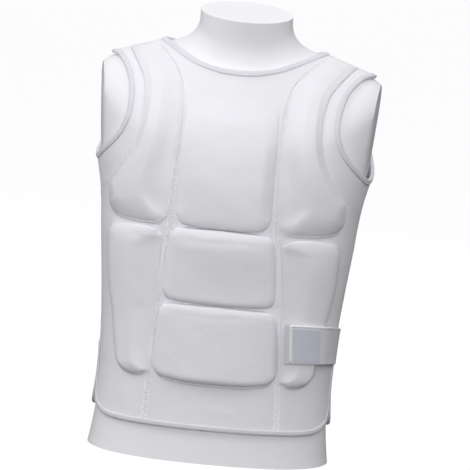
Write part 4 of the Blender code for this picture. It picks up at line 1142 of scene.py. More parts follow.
@dataclass
class BaseCloth:
    """The six knit panels that are sewn together and stretched over the form.

    Attributes:
        waves: Height, size and seed of each set of slow waves.
        centre_dip: Half width, depth and pucker of the long front seams' valleys. Next come
            those of the armhole, the side, and the upper side and shoulder seams.
        valley_fade: Heights between which the long front seams grow shallow.
        band_rise: Rise of the stretch band beside the armhole.
        band_edges: Distances from the armhole over which it comes and goes.
        highest: Greatest relief in front and behind.
        laps: Height of the side front and of the band at the armhole seam.
        bound_clear: Distances from a bound edge over which all relief comes in.
    """

    seams: Seams
    front_spacing: float = 3.4
    back_spacing: float = 4.4
    waves: tuple = ((0.10, 46.0, 0.4), (0.05, 17.0, 1.9))
    centre_dip: Triple = (9.0, 1.15, 0.12)
    arm_dip: Triple = (5.0, 0.6, 0.1)
    side_dip: Triple = (6.0, 0.6, 0.1)
    fine_dip: Triple = (5.0, 0.5, 0.05)
    valley_fade: Pair = (425.0, 500.0)
    band_rise: float = 0.25
    band_edges: tuple = ((8.0, 16.0), (26.0, 34.0))
    band_back: float = 20.0
    lowest: float = -1.5
    highest: Pair = (0.85, 1.7)
    back_from: float = 25.0
    laps: Pair = (0.85, -1.0)
    lap_width: float = 2.4
    bound_clear: Pair = (7.8, 14.0)
    creases: tuple[Crease, ...] = (
        Crease(((-133, -90, 409), (-143, -80, 386), (-155, -68, 362)), 4.0, 0.6),
        Crease(((-139, -86, 404), (-148, -77, 384), (-157, -66, 366)), 3.2, -0.5),
        Crease(((-150, -79, 440), (-152, -76, 424), (-160, -66, 408)), 3.0, 0.35),
        Crease(((151, -79, 425), (160, -68, 404), (171, -50, 388)), 3.6, 0.5),
        Crease(((135, -84, 392), (148, -76, 376), (164, -56, 362)), 3.4, -0.4),
        Crease(((-112, -70, 60), (-116, -72, 80), (-112, -76, 98)), 4.5, 0.45),
        Crease(((110, -76, 58), (116, -72, 74), (122, -68, 96)), 4.5, 0.4),
        Crease(((40, -98, 60), (20, -100, 72), (-6, -101, 74)), 5.0, 0.4),
        Crease(((-60, -96, 64), (-44, -98, 78), (-30, -99, 88)), 4.0, -0.35),
        Crease(((-156, -30, 120), (-154, -40, 150), (-157, -34, 186)), 5.0, 0.5),
        Crease(((158, -20, 200), (160, -30, 240), (165, -22, 280)), 5.0, 0.45),
        Crease(((167, -24, 300), (170, -14, 322), (176, 0, 336)), 4.0, -0.4),
        Crease(((-170, -20, 330), (-167, -28, 306), (-163, -22, 280)), 4.0, 0.45),
        Crease(((88, 84, 112), (60, 88, 126), (-4, 90, 120)), 11.0, 1.3),
        Crease(((-128, 62, 132), (-84, 84, 152), (-6, 90, 156)), 12.0, 1.25),
        Crease(((80, 84, 178), (50, 88, 190), (-22, 90, 180)), 10.0, -0.9),
        Crease(((-60, 88, 204), (-20, 90, 216), (52, 90, 206)), 11.0, 1.0),
        Crease(((-112, 74, 236), (-72, 88, 248), (-26, 92, 238)), 11.0, -0.8),
        Crease(((150, 60, 400), (130, 90, 380), (108, 102, 352)), 7.0, 1.2),
        Crease(((-150, 60, 404), (-132, 90, 386), (-112, 102, 362)), 6.5, 1.1),
        Crease(((158, 40, 372), (146, 70, 348), (128, 90, 322)), 6.5, 0.9),
        Crease(((90, 70, 520), (84, 92, 486), (90, 104, 440)), 10.0, 0.9),
        Crease(((-90, 70, 520), (-82, 94, 482), (-86, 104, 436)), 10.0, -0.8),
        Crease(((20, 100, 70), (8, 98, 96), (14, 92, 124)), 6.0, 0.9),
        Crease(((-88, -98, 309), (-80, -103, 310), (-71, -109, 314)), 3.6, 0.8),
        Crease(((86, -100, 300), (80, -103, 306), (71, -109, 310)), 3.4, 0.6),
    )
    panels: dict[str, ClothPanel] = field(default_factory=dict)

    def valleys(self, side: Side) -> list[Valley]:
        """The valley of every seam on one side of the body."""
        s, flip = self.seams, side.flip
        dips = [Valley(s.centre * flip, *self.centre_dip, fade=self.valley_fade),
                Valley(s.arm_seam * flip, *self.arm_dip),
                Valley(s.side_low * flip, *self.side_dip)]
        return dips + [Valley(line * flip, *self.fine_dip) for line in
                       (s.side_high, s.shoulder_neck, s.shoulder_pec, s.shoulder_yoke)]

    def band(self, away: Array) -> Array:
        """Rise of the stretch band at distances from the armhole."""
        near, far = self.band_edges
        return self.band_rise * smoothstep(*near, away) * (1.0 - smoothstep(*far, away))

    def relief(self, points: Array, lap: float = 0.0) -> Array:
        """Height of the cloth's face over its plain wall.

        Args:
            points: Places on the torso, on the side of the body where they are.
            lap: Height gained at the armhole seam, where one edge laps the other.

        Returns:
            Height in mm from seam valleys, creases and slow waves.
        """
        height = sum(rise * ripple(points, size, seed) for rise, size, seed in self.waves)
        for crease in self.creases:
            height = height + crease.lift(points)
        front = points[:, 1] < self.band_back
        for side in Side:
            for dip in self.valleys(side):
                height = height + dip.lift(points)
            if lap:
                away, _ = near_line(points, thinned(self.seams.arm_seam) * side.flip)
                height = height + lap * np.exp(-(away / self.lap_width) ** 2)
            away, _ = near_line(points[front], thinned(self.seams.arm_front) * side.flip)
            height[front] += self.band(away)
        clear = np.full(len(points), np.inf)
        for curve in self.seams.bound():
            away, _ = near_line(points, thinned(curve, step=6))
            clear = np.minimum(clear, away)
        height = height * smoothstep(*self.bound_clear, clear)
        in_front, behind = self.highest
        highest = np.where(points[:, 1] > self.back_from, behind, in_front)
        return np.clip(height, self.lowest, highest)

    def cut_panels(self) -> None:
        """Cut the panels out along their seams."""
        left, bound, seam = self.seams, LAYERS.bound_row, LAYERS.seam_row
        self.panels["front_center"] = ClothPanel((
            (whole(left.centre_hem), bound), (left.centre, seam),
            (left.shoulder_neck[::-1], seam), (left.neck_front, bound),
            (mirrored(left.neck_front[::-1]), bound), (mirrored(left.shoulder_neck), seam),
            (mirrored(left.centre[::-1]), seam)), 0.0, self.front_spacing)
        self.panels["front_side"] = ClothPanel((
            (left.front_hem, bound), (left.front_vent, bound), (left.side_low, seam),
            (left.arm_seam, seam), (left.shoulder_pec[::-1], seam),
            (left.centre[::-1], seam)), 45.0, self.front_spacing)
        self.panels["yoke"] = ClothPanel((
            (left.side_high, seam), (left.arm_front, bound), (left.shoulder_yoke[::-1], seam),
            (left.arm_seam[::-1], seam)), 70.0, self.front_spacing)
        half = ((left.arm_back[::-1], bound), (left.side_high[::-1], seam),
                (left.side_low[::-1], seam), (left.back_vent[::-1], bound),
                (left.back_hem, bound))
        other = tuple((mirrored(curve[::-1]), width) for curve, width in half[::-1])
        shoulder = ((left.shoulder_neck, seam), (left.shoulder_pec, seam),
                    (left.shoulder_yoke, seam))
        far = tuple((mirrored(curve[::-1]), width) for curve, width in shoulder[::-1])
        self.panels["back_panel"] = ClothPanel(
            half + other + far + ((mirrored(left.neck_back), bound),
                                  (left.neck_back[::-1], bound)) + shoulder,
            180.0, self.back_spacing, behind=True)

    def declare(self, item: Item, panel: ClothPanel) -> None:
        """Work out a panel's flat cut, which is not used further."""
        width, length, area = panel.cut()

    def build(self) -> None:
        """Make every panel."""
        self.cut_panels()
        for name, slot in (("front_center", "knit_front"), ("back_panel", "knit_back")):
            panel = self.panels[name]
            item = place(name + "_cloth", panel.wall(self.relief), FINISHES.knit, slot, [name])
            self.declare(item, panel)
        for name, finish, slot, lap in (
                ("front_side", FINISHES.knit, "knit_front", self.laps[0]),
                ("yoke", FINISHES.stretch, "knit_stretch", self.laps[1])):
            panel = self.panels[name]
            for side in Side:
                def relief(points: Array, side: Side = side, lap: float = lap) -> Array:
                    """Relief of the panel on one side of the body."""
                    return self.relief(points * side.flip, lap)
                mesh = on_side(panel.wall(relief), side)
                item = place(f"{name}_{side.word}_cloth", mesh, finish, slot,
                             [f"{name}_{side.word}"])
                self.declare(item, panel)


@dataclass
class Bindings:
    """Folded tape around every free edge, with the row of stitches that holds it."""

    cloth: BaseCloth
    top: float = 140.0
    tape: float = 21.0
    stitch: float = 2.4
    pitch: float = 3.3
    thread: float = 0.34
    stitch_row: float = 0.4
    # Shares of the tape's depth with its rise there, and angles around its fold.
    face: tuple = ((0.93, 0.1), (0.62, 0.35), (0.3, 0.35), (0.0, 0.1))
    fold_angles: tuple[float, ...] = (0.55, 1.1, 1.57, 2.1, 2.6)
    lip: float = 0.35
    slack: float = 0.9

    @staticmethod
    def direction(edge: Array, closed: bool) -> Array:
        """Unit direction along a run, the same for the two points at a seam."""
        ahead, behind = np.roll(edge, -1, axis=0) - edge, edge - np.roll(edge, 1, axis=0)
        beyond, before = np.roll(edge, -2, axis=0) - edge, edge - np.roll(edge, 2, axis=0)
        at_seam = np.linalg.norm(ahead, axis=1) < 2.0 * LAYERS.seam_gap
        ahead[at_seam] = beyond[at_seam]
        past_seam = np.roll(at_seam, 1)
        behind[past_seam] = before[past_seam]
        if not closed:
            ahead[-1], behind[0] = behind[-1], ahead[0]
        return unit(unit(ahead) + unit(behind))

    def section(self, edge: Edge, closed: bool) -> list[Array]:
        """Corners of the tape's section, each with its points at every station of the run."""
        normal, inner_normal = TORSO.normals(edge.points), TORSO.normals(edge.inner)
        into = unit(np.cross(normal, self.direction(edge.points, closed)))
        deepest = LAYERS.binding_depth / LAYERS.bound_row

        def at(lift: float, clearance: float, share: float) -> Array:
            """Point over or under the cloth, at a share of the tape's depth."""
            share = share * deepest
            near = edge.points + normal * lift
            far = edge.inner + inner_normal * lift
            out = unit((1.0 - share) * normal + share * inner_normal)
            return (1.0 - share) * near + share * far + out * clearance

        def fold(height: float, out: float) -> Array:
            """Point around the fold, outside the cloth's edge."""
            return edge.points + normal * height - into * out

        gap, wall = LAYERS.binding_clearance, LAYERS.binding_wall
        high, low = LAYERS.cloth_high, LAYERS.cloth_low
        over, middle = gap + wall, 0.5 * (high + low)
        half = 0.5 * (high - low) + over
        inside = gap * self.slack
        corners = [at(high, gap + self.lip * wall, 1.0)]
        corners += [at(high, over + rise, share) for share, rise in self.face]
        corners += [fold(middle + half * math.cos(angle), over * math.sin(angle))
                    for angle in self.fold_angles]
        corners += [at(low, -over, share) for share in (0.0, 0.5, 1.0)]
        return corners + [at(low, -gap, 1.0), fold(low - gap, inside),
                          fold(high + gap, inside), at(high, gap, 0.5)]

    def strip(self, edge: Edge, closed: bool) -> Mesh:
        """Closed tube of the folded tape."""
        corners = self.section(edge, closed)
        points = np.stack(corners, axis=1).reshape(-1, 3)
        return points, sleeve(len(edge.points), len(corners), closed)

    def stitches(self, edge: Edge, closed: bool) -> Mesh:
        """Row of short stitches near the tape's inner edge."""
        corners = self.section(edge, closed)
        line = (1.0 - self.stitch_row) * corners[1] + self.stitch_row * corners[2]
        line = np.concatenate([line, line[:1]]) if closed else line
        total = length_of(line)
        count = int(total / self.pitch)
        starts = along(line, np.arange(count) * self.pitch / total)
        ends = along(line, (np.arange(count) * self.pitch + self.stitch) / total)
        normals = TORSO.normals(TORSO.settle(0.5 * (starts + ends)))
        return threads(starts, ends, normals, self.thread)

    def bind(self, name: str, edge: Edge, closed: bool) -> None:
        """Make one binding and its stitches."""
        tape = place(name + "_tape", self.strip(edge, closed), FINISHES.tape, "edge_tape",
                     [name], sharp=1.2)
        line = place(name + "_stitches", self.stitches(edge, closed), FINISHES.thread, "edge_tape")

    def build(self) -> None:
        """Bind the neckline, both armholes, the hems and the vents."""
        front, side = self.cloth.panels["front_center"], self.cloth.panels["front_side"]
        yoke, back = self.cloth.panels["yoke"], self.cloth.panels["back_panel"]
        self.bind("neck_binding", front.run(3, 4) + back.run(13, 14), True)
        self.bind("armhole_binding_left", yoke.run(1, 1) + back.run(0, 0), True)
        self.bind("armhole_binding_right", back.run(9, 9) + yoke.run(1, 1).mirrored(), True)
        side_hem = side.run(0, 1).below(self.top)
        self.bind("hem_binding_front", side_hem.mirrored() + front.run(0, 0) + side_hem, False)
        self.bind("hem_binding_back", back.run(3, 6).below(self.top), False)


@dataclass
class SeamStitching:
    """Flat-locked stitches over the long seams, and finer ones along the armhole seams.

    The threads are drawn about twice as thick as real ones, so that they show.
    """

    cloth: BaseCloth
    ladder_half_width: float = 3.7
    ladder_pitch: float = 3.0
    ladder_thread: float = 0.5
    ladder_finest: float = 0.5
    ladder_finer: Pair = (425.0, 490.0)
    ladder_slant: float = 1.4
    row_stitch: float = 2.2
    row_thread: float = 0.62
    fine_pitch: float = 3.0
    fine_offset: float = 2.6
    fine_thread: float = 0.32

    def face(self, points: Array, lap: float = 0.0) -> Array:
        """Points on the cloth's outer face over points of the surface."""
        lift = LAYERS.cloth_high + self.cloth.relief(points, lap)
        return points + TORSO.normals(points) * lift[:, None]

    @staticmethod
    def beside(line: Array, away: float) -> Array:
        """A line moved sideways over the surface."""
        ahead = unit(np.gradient(line, axis=0))
        return TORSO.settle(line + np.cross(TORSO.normals(line), ahead) * away)

    def ladder(self, seam: Array) -> Mesh:
        """Cross threads with a row along either end of them."""
        stations = evenly(seam, self.ladder_pitch)[2:-1]
        left = self.beside(stations, self.ladder_half_width)
        right = self.beside(stations, -self.ladder_half_width)
        low, high = self.face(left), self.face(right)
        normals = TORSO.normals(stations)
        slant = unit(np.gradient(stations, axis=0)) * self.ladder_slant
        finer = 1.0 - self.ladder_finest * smoothstep(*self.ladder_finer, stations[:, 2])
        rungs = threads(low - slant, high + slant, normals, self.ladder_thread * finer)
        rows = []
        for line, thick in ((low, self.ladder_thread), (high, self.row_thread)):
            step = unit(np.diff(line, axis=0))
            rows.append(threads(line[:-1], line[:-1] + step * self.row_stitch, normals[:-1],
                                thick * finer[:-1]))
        return joined([rungs, *rows])

    def row(self, seam: Array, away: float, lap: float = 0.0) -> Mesh:
        """One row of small stitches beside a seam."""
        stations = evenly(seam, self.fine_pitch)[1:-1]
        line = self.face(self.beside(stations, away), lap)
        step = unit(np.diff(line, axis=0))
        return threads(line[:-1], line[:-1] + step * self.row_stitch,
                       TORSO.normals(stations[:-1]), self.fine_thread)

    def build(self) -> None:
        """Sew the seams of both sides."""
        seams = self.cloth.seams
        for side in Side:
            place(f"center_seam_{side.word}_flatlock", self.ladder(seams.centre * side.flip),
                  FINISHES.thread, "knit_front")
            rows = [self.row(seams.arm_seam * side.flip, away * side.value, lap)
                    for away, lap in zip((self.fine_offset, -self.fine_offset),
                                         self.cloth.laps)]
            place(f"armhole_seam_{side.word}_stitches", joined(rows), FINISHES.thread,
                  "knit_stretch")
            rows = [self.row(curve * side.flip, away)
                    for curve in (seams.side_low, seams.shoulder_pec)
                    for away in (self.fine_offset, -self.fine_offset)]
            place(f"side_seam_{side.word}_stitches", joined(rows), FINISHES.thread, "knit_back")


@dataclass(frozen=True)
class PadEdge:
    """How a pad's cover comes down to the cloth along one edge.

    Attributes:
        roll: Width in mm over which it rounds off.
        rim: Height in mm at which it starts.
        soft: Share of a long even slope in it, from 0 for foam cut square to 1.
        reach: How far in mm the cover goes on past the foam.
        lip: Width in mm of the flat allowance outside the foam.
    """

    roll: float = 9.0
    rim: float = 1.5
    soft: float = 0.0
    reach: float = 0.0
    lip: float = 0.0


@dataclass
class Pad:
    """One foam pad sewn between the cloth and its cover, with soft edges.

    Attributes:
        borders: Bottom, top, left and right border curves on the surface.
        corners: Radii of its corners: bottom left, bottom right, top left and top right.
        edges: Its bottom, top, left and right edges.
        crown: Rise of its fullest place over its rounded edges.
        peak: Where its fullest place lies, as a share of its height.
        thickness: Height of its cover, or a function of height.
        dents: Creases of its cover.
    """

    borders: tuple[Array, ...]
    corners: tuple[float, ...]
    edges: tuple[PadEdge, ...]
    crown: float = 0.8
    peak: float = 0.5
    thickness: Union[float, Relief] = LAYERS.pad_thickness
    dents: tuple[Crease, ...] = ()
    spacing: float = 2.6
    stretched: float = 8.0
    blend: float = 6.0
    insets: tuple[float, ...] = (0.0, 0.5, 1.2, 2.1, 3.2, 4.5, 6.0, 7.8, 10.0, 12.4)
    # Softness and inset over which the cover is sewn down to the cloth, and its height there.
    sewn_soft: Pair = (0.2, 0.7)
    sewn_inset: Pair = (2.0, 8.0)
    sewn_clear: float = 0.12
    # Power of the foam's rounded edge, and rolls that the long slope takes.
    roundness: float = 2.2
    slope: float = 1.45
    # Height of the roll over the allowance, the widest that counts, and its half width.
    welt: Triple = (0.3, 1.5, 0.4)
    waves: tuple[Pair, ...] = ((0.24, 34.0), (0.10, 13.0))
    wave_inset: Pair = (1.0, 9.0)

    def spread(self) -> tuple[Array, ...]:
        """Grid over a rectangle with round corners.

        Returns:
            Place across and up from 0 to 1, inset, and distance to each side.
        """
        width, height = length_of(self.borders[0]), length_of(self.borders[2])
        half = np.array((width, height)) * 0.5
        insets = np.array(self.insets)

        def stations(length: float) -> Array:
            """Distances from the middle at which the grid has points."""
            cells = max(4, round((2.0 * length - 2.0 * insets[-1]) / self.spacing))
            inner = np.linspace(insets[-1], 2.0 * length - insets[-1], cells + 1)
            ends = (2.0 * length - insets[:-1])[::-1]
            return np.concatenate([insets[:-1], inner, ends]) - length

        x, z = np.meshgrid(stations(half[0]), stations(half[1]))
        inset = np.minimum(half[0] - np.abs(x), half[1] - np.abs(z))
        level = np.minimum(inset, insets[-1])
        box = half - level[..., None]
        scale = np.maximum(np.maximum(np.abs(x) / box[..., 0], np.abs(z) / box[..., 1]), 1e-9)
        low_left, low_right, top_left, top_right = self.corners
        corner = np.where(z < 0.0, np.where(x < 0.0, low_left, low_right),
                          np.where(x < 0.0, top_left, top_right))
        radius = np.maximum(corner - level, 1.0)
        unit_x, unit_z = x / (box[..., 0] * scale), z / (box[..., 1] * scale)
        bend_x, bend_z = 1.0 - radius / box[..., 0], 1.0 - radius / box[..., 1]
        turn_z = np.clip((np.abs(unit_z) - bend_z) / (1.0 - bend_z), 0.0, 1.0) * np.pi / 4.0
        turn_x = np.clip((np.abs(unit_x) - bend_x) / (1.0 - bend_x), 0.0, 1.0) * np.pi / 4.0
        on_side = np.abs(unit_x) > 1.0 - 1e-9
        angle = np.where(on_side, turn_z, np.pi / 2.0 - turn_x)
        round_x = np.where(on_side | (turn_x > 0.0),
                           bend_x + (1 - bend_x) * np.cos(angle), np.abs(unit_x))
        round_z = np.where(~on_side | (turn_z > 0.0),
                           bend_z + (1 - bend_z) * np.sin(angle), np.abs(unit_z))
        gaps = np.stack([z + half[1], half[1] - z, x + half[0], half[0] - x], axis=-1)
        x = np.sign(x) * round_x * scale * box[..., 0]
        z = np.sign(z) * round_z * scale * box[..., 1]
        return 0.5 + x / width, 0.5 + z / height, inset, gaps

    def grid(self, u: Array, v: Array) -> Array:
        """Surface points of the blend between the four borders."""
        bottom, top, left, right = self.borders
        shape = u.shape + (3,)
        b, t = along(bottom, u.ravel()).reshape(shape), along(top, u.ravel()).reshape(shape)
        le, ri = along(left, v.ravel()).reshape(shape), along(right, v.ravel()).reshape(shape)
        u, v = u[..., None], v[..., None]
        corners = (1 - u) * (1 - v) * bottom[0] + u * (1 - v) * bottom[-1]
        corners = corners + (1 - u) * v * top[0] + u * v * top[-1]
        return TORSO.settle((1 - v) * b + v * t + (1 - u) * le + u * ri - corners)

    def reached(self, surface: Array, gaps: Array) -> Array:
        """Surface points moved out where the cover goes on past the foam."""
        reach = np.array([edge.reach for edge in self.edges])
        pull = np.clip(1.0 - gaps / self.stretched, 0.0, 1.0) * reach
        across = unit(np.gradient(surface, axis=1))
        upward = unit(np.gradient(surface, axis=0))
        return TORSO.settle(surface + upward * (pull[..., 1] - pull[..., 0])[..., None]
                            + across * (pull[..., 3] - pull[..., 2])[..., None])

    def underside(self, cloth: Array, soft: Array, inset: Array) -> Array:
        """Height of the underside, which comes down to the cloth where the cover is sewn."""
        sewn = smoothstep(*self.sewn_soft, soft) * (1.0 - smoothstep(*self.sewn_inset, inset))
        least = np.minimum(cloth + self.sewn_clear, LAYERS.pad_low)
        return LAYERS.pad_low + (least - LAYERS.pad_low) * sewn

    def rise(self, foam: Array, soft: Array) -> Array:
        """Share of the full height, between a round edge and a long even slope."""
        edge = 1.0 - (1.0 - np.clip(foam, 0.0, 1.0)) ** self.roundness
        square = np.sqrt(np.maximum(edge, 0.0))
        return square + (smoothstep(0.0, self.slope, foam) - square) * soft

    def dome(self, u: Array, v: Array) -> Array:
        """Rise of the cover's middle over its edges."""
        upward = np.clip(v, 0.0, 1.0) ** (math.log(0.5) / math.log(self.peak))
        dome = (1.0 - (2.0 * u - 1.0) ** 2) * (1.0 - (2.0 * upward - 1.0) ** 2)
        return self.crown * np.maximum(dome, 0.0)

    def mesh(self, relief: Relief, side: Side) -> Mesh:
        """Closed pad: a flat underside and a cover that rolls over the foam's edges.

        Args:
            relief: Relief of the cloth under it, at places on the body.
            side: Side of the body that it is shaped for; the mesh is given for the left.

        Returns:
            Points and faces.
        """
        u, v, inset, gaps = self.spread()
        surface = self.reached(self.grid(u, v), gaps)
        weight = np.exp(-np.maximum(gaps, 0.0) / self.blend)[..., None]
        values = np.array([astuple(edge) for edge in self.edges])
        blend = np.sum(weight * values, axis=-2) / np.sum(weight, axis=-2)
        roll, rim, soft, _, lip = np.moveaxis(blend, -1, 0)
        flat = surface.reshape(-1, 3) * side.flip
        cloth = LAYERS.cloth_high + relief(flat).reshape(u.shape)
        low = self.underside(cloth, soft, inset)
        depth = self.thickness
        depth = depth(surface[..., 2]) if callable(depth) else depth
        rise = self.rise(np.maximum(inset - lip, 0.0) / roll, soft)
        high = low + rim + (LAYERS.pad_low + depth - low - rim) * rise
        welt, widest, spread = self.welt
        past_middle = inset / np.maximum(lip, spread) - 0.5
        high = high + welt * np.minimum(lip, widest) * np.exp(-(past_middle / spread) ** 2)
        waves = sum(height * ripple(flat, size, seed) for (height, size), seed
                    in zip(self.waves, (self.corners[0], 2.0)))
        for dent in self.dents:
            waves = waves + dent.lift(flat)
        waves = waves.reshape(u.shape) * smoothstep(*self.wave_inset, inset)
        return grid_wall(surface, low, high + self.dome(u, v) + waves)


@dataclass
class Padding:
    """The seven foam pads over the chest, the belly and the sides."""

    cloth: BaseCloth
    fill: float = 0.85
    pec_insets: Pair = (-8.0, 5.0)
    pec_thin: Triple = (395.0, 515.0, 2.6)
    chest_thin: Triple = (395.0, 484.0, 3.6)

    @staticmethod
    def thinning(low: float, high: float, least: float) -> Relief:
        """Thickness of a pad that thins out between two heights, down to its least."""
        def thickness(height: Array) -> Array:
            """Thickness at heights."""
            share = smoothstep(low, high, height)
            return LAYERS.pad_thickness + (least - LAYERS.pad_thickness) * share
        return thickness

    @staticmethod
    def across(bottom: Sequence, side: Sequence, top: Sequence, corners: Pair,
               edges: tuple[PadEdge, ...], **more: object) -> Pad:
        """Pad that crosses the middle, from its borders on the wearer's left.

        Args:
            bottom: Bottom border, x and z seen from the front.
            side: Side border.
            top: Top border.
            corners: Radii of its bottom and top corners.
            edges: Its bottom, top and side edges.
            more: Other attributes of the pad.

        Returns:
            The pad.
        """
        lower, upper, right = (smooth_curve(TORSO.from_front(curve), 90)
                               for curve in (bottom, top, side))
        low, high = corners
        return Pad((whole(lower), whole(upper), mirrored(right), right),
                   (low, low, high, high), (*edges, edges[2]), **more)

    def pec(self) -> Pad:
        """Upper side pad, between the centre seam and the armhole seam."""
        seams = self.cloth.seams
        bottom = smooth_curve(
            TORSO.from_front(((77, 318), (105, 316.5), (135, 318), (159, 326))), 60)
        inner = SeamStitching.beside(evenly(seams.centre, 3.4), self.pec_insets[0])
        inner = inner[(inner[:, 2] > 330.0) & (inner[:, 1] < -36.0)]
        top_corner = np.array(((116, -4, 550),))
        left = smooth_curve(np.concatenate([bottom[:1], picked(inner, 10), top_corner]), 90)
        outer = SeamStitching.beside(evenly(seams.arm_seam, 2.6), self.pec_insets[1])
        outer = outer[(outer[:, 0] < 151.0) & (outer[:, 1] < -6.0)]
        low = TORSO.from_front(((159, 326), (157, 348)))
        right = smooth_curve(np.concatenate([low, picked(outer, 12)]), 90)
        share = np.linspace(0.0, 1.0, 20)[:, None]
        top = TORSO.settle(left[-1] + (right[-1] - left[-1]) * share)

        edges = (PadEdge(19.0, 2.2, soft=0.3, lip=2.3, reach=2.6),
                 PadEdge(14.0, 0.35, soft=1.0),
                 PadEdge(32.0, 0.35, soft=1.0, reach=4.0),
                 PadEdge(12.0, 0.9, soft=0.6, reach=4.6))
        return Pad((bottom, top, left, right), (17.0, 17.0, 12.0, 12.0), edges,
                   crown=2.3, peak=0.22, thickness=self.thinning(*self.pec_thin))

    @staticmethod
    def side() -> Pad:
        """Lower side pad."""
        lines = (((90.5, 112), (110, 109.5), (131.5, 115.5)),
                 ((83, 307), (120, 308.5), (157, 304)),
                 ((90.5, 112), (89.5, 160), (87.5, 220), (83, 307)),
                 ((131.5, 115.5), (137.5, 150), (146, 200), (153.5, 235), (157, 304)))
        borders = tuple(smooth_curve(TORSO.from_front(line), 60) for line in lines)
        edges = (PadEdge(9.0, 1.4, soft=0.2, lip=1.8), PadEdge(11.0, 3.6, reach=3.0),
                 PadEdge(15.0, 0.35, soft=0.9, reach=4.0), PadEdge(10.0, 1.6, lip=1.4))
        dents = (Crease(((-92, -96, 300), (-100, -92, 296), (-112, -84, 299)), 4.0, -0.55),
                 Crease(((92, -96, 296), (104, -90, 290), (118, -80, 292)), 4.5, -0.45),
                 Crease(((-98, -90, 210), (-104, -86, 196), (-106, -84, 176)), 6.0, -0.35))
        return Pad(borders, (9.0, 15.0, 11.0, 13.0), edges, crown=2.4, peak=0.82, dents=dents)

    def sew(self, name: str, mesh: Mesh) -> None:
        """Place one pad."""
        item = place(name + "_cover", mesh, FINISHES.pad_knit, "pad_knit", [name], sharp=1.2)

    def build(self) -> None:
        """Make every pad."""
        chest = self.across(
            ((0, 318.5), (44, 320), (62, 323.5)),
            ((62, 323.5), (62.5, 360), (63, 400), (62, 440), (58, 480)),
            ((0, 481), (58, 480)), (13.0, 12.0),
            (PadEdge(9.0, 6.2, reach=2.2), PadEdge(22.0, 0.8, soft=1.0, reach=3.0),
             PadEdge(11.0, 0.6, soft=0.6, reach=0.8)),
            crown=1.8, peak=0.5, thickness=self.thinning(*self.chest_thin))
        upper = self.across(
            ((0, 217), (50, 218), (75, 220)),
            ((75, 220), (74, 250), (71.5, 285), (68, 312)),
            ((0, 314), (68, 312)), (13.0, 13.0),
            (PadEdge(7.0, 5.2, reach=1.8), PadEdge(11.0, 5.0, reach=1.2),
             PadEdge(8.0, 1.8, soft=0.3)),
            crown=3.0, peak=0.78,
            dents=(Crease(((-56, -106, 303), (-20, -110, 299.5), (20, -110, 301.5),
                           (56, -106, 300.5)), 3.0, -0.5),
                   Crease(((-60, -106, 292), (-36, -108, 289), (-10, -109, 292)), 4.0, 0.35)))
        lower = self.across(
            ((0, 105.5), (44, 106.5), (83, 113.5)),
            ((83, 113.5), (82.5, 140), (80.5, 172), (77.5, 210)),
            ((0, 211.5), (77.5, 210)), (17.0, 15.0),
            (PadEdge(9.0, 1.8, lip=2.4), PadEdge(11.0, 5.0, reach=1.6),
             PadEdge(8.0, 1.8, soft=0.3)),
            crown=1.4, peak=0.35,
            dents=(Crease(((-62, -100, 202.5), (-22, -102, 199), (26, -102, 200.5),
                           (62, -99, 201)), 3.4, -0.4),))
        for name, pad in (("chest_pad", chest), ("upper_belly_pad", upper),
                          ("lower_belly_pad", lower)):
            self.sew(name, pad.mesh(self.cloth.relief, Side.LEFT))
        for name, pad in (("pec_pad", self.pec()), ("side_pad", self.side())):
            for side in Side:
                mesh = on_side(pad.mesh(self.cloth.relief, side), side)
                self.sew(f"{name}_{side.word}", mesh)


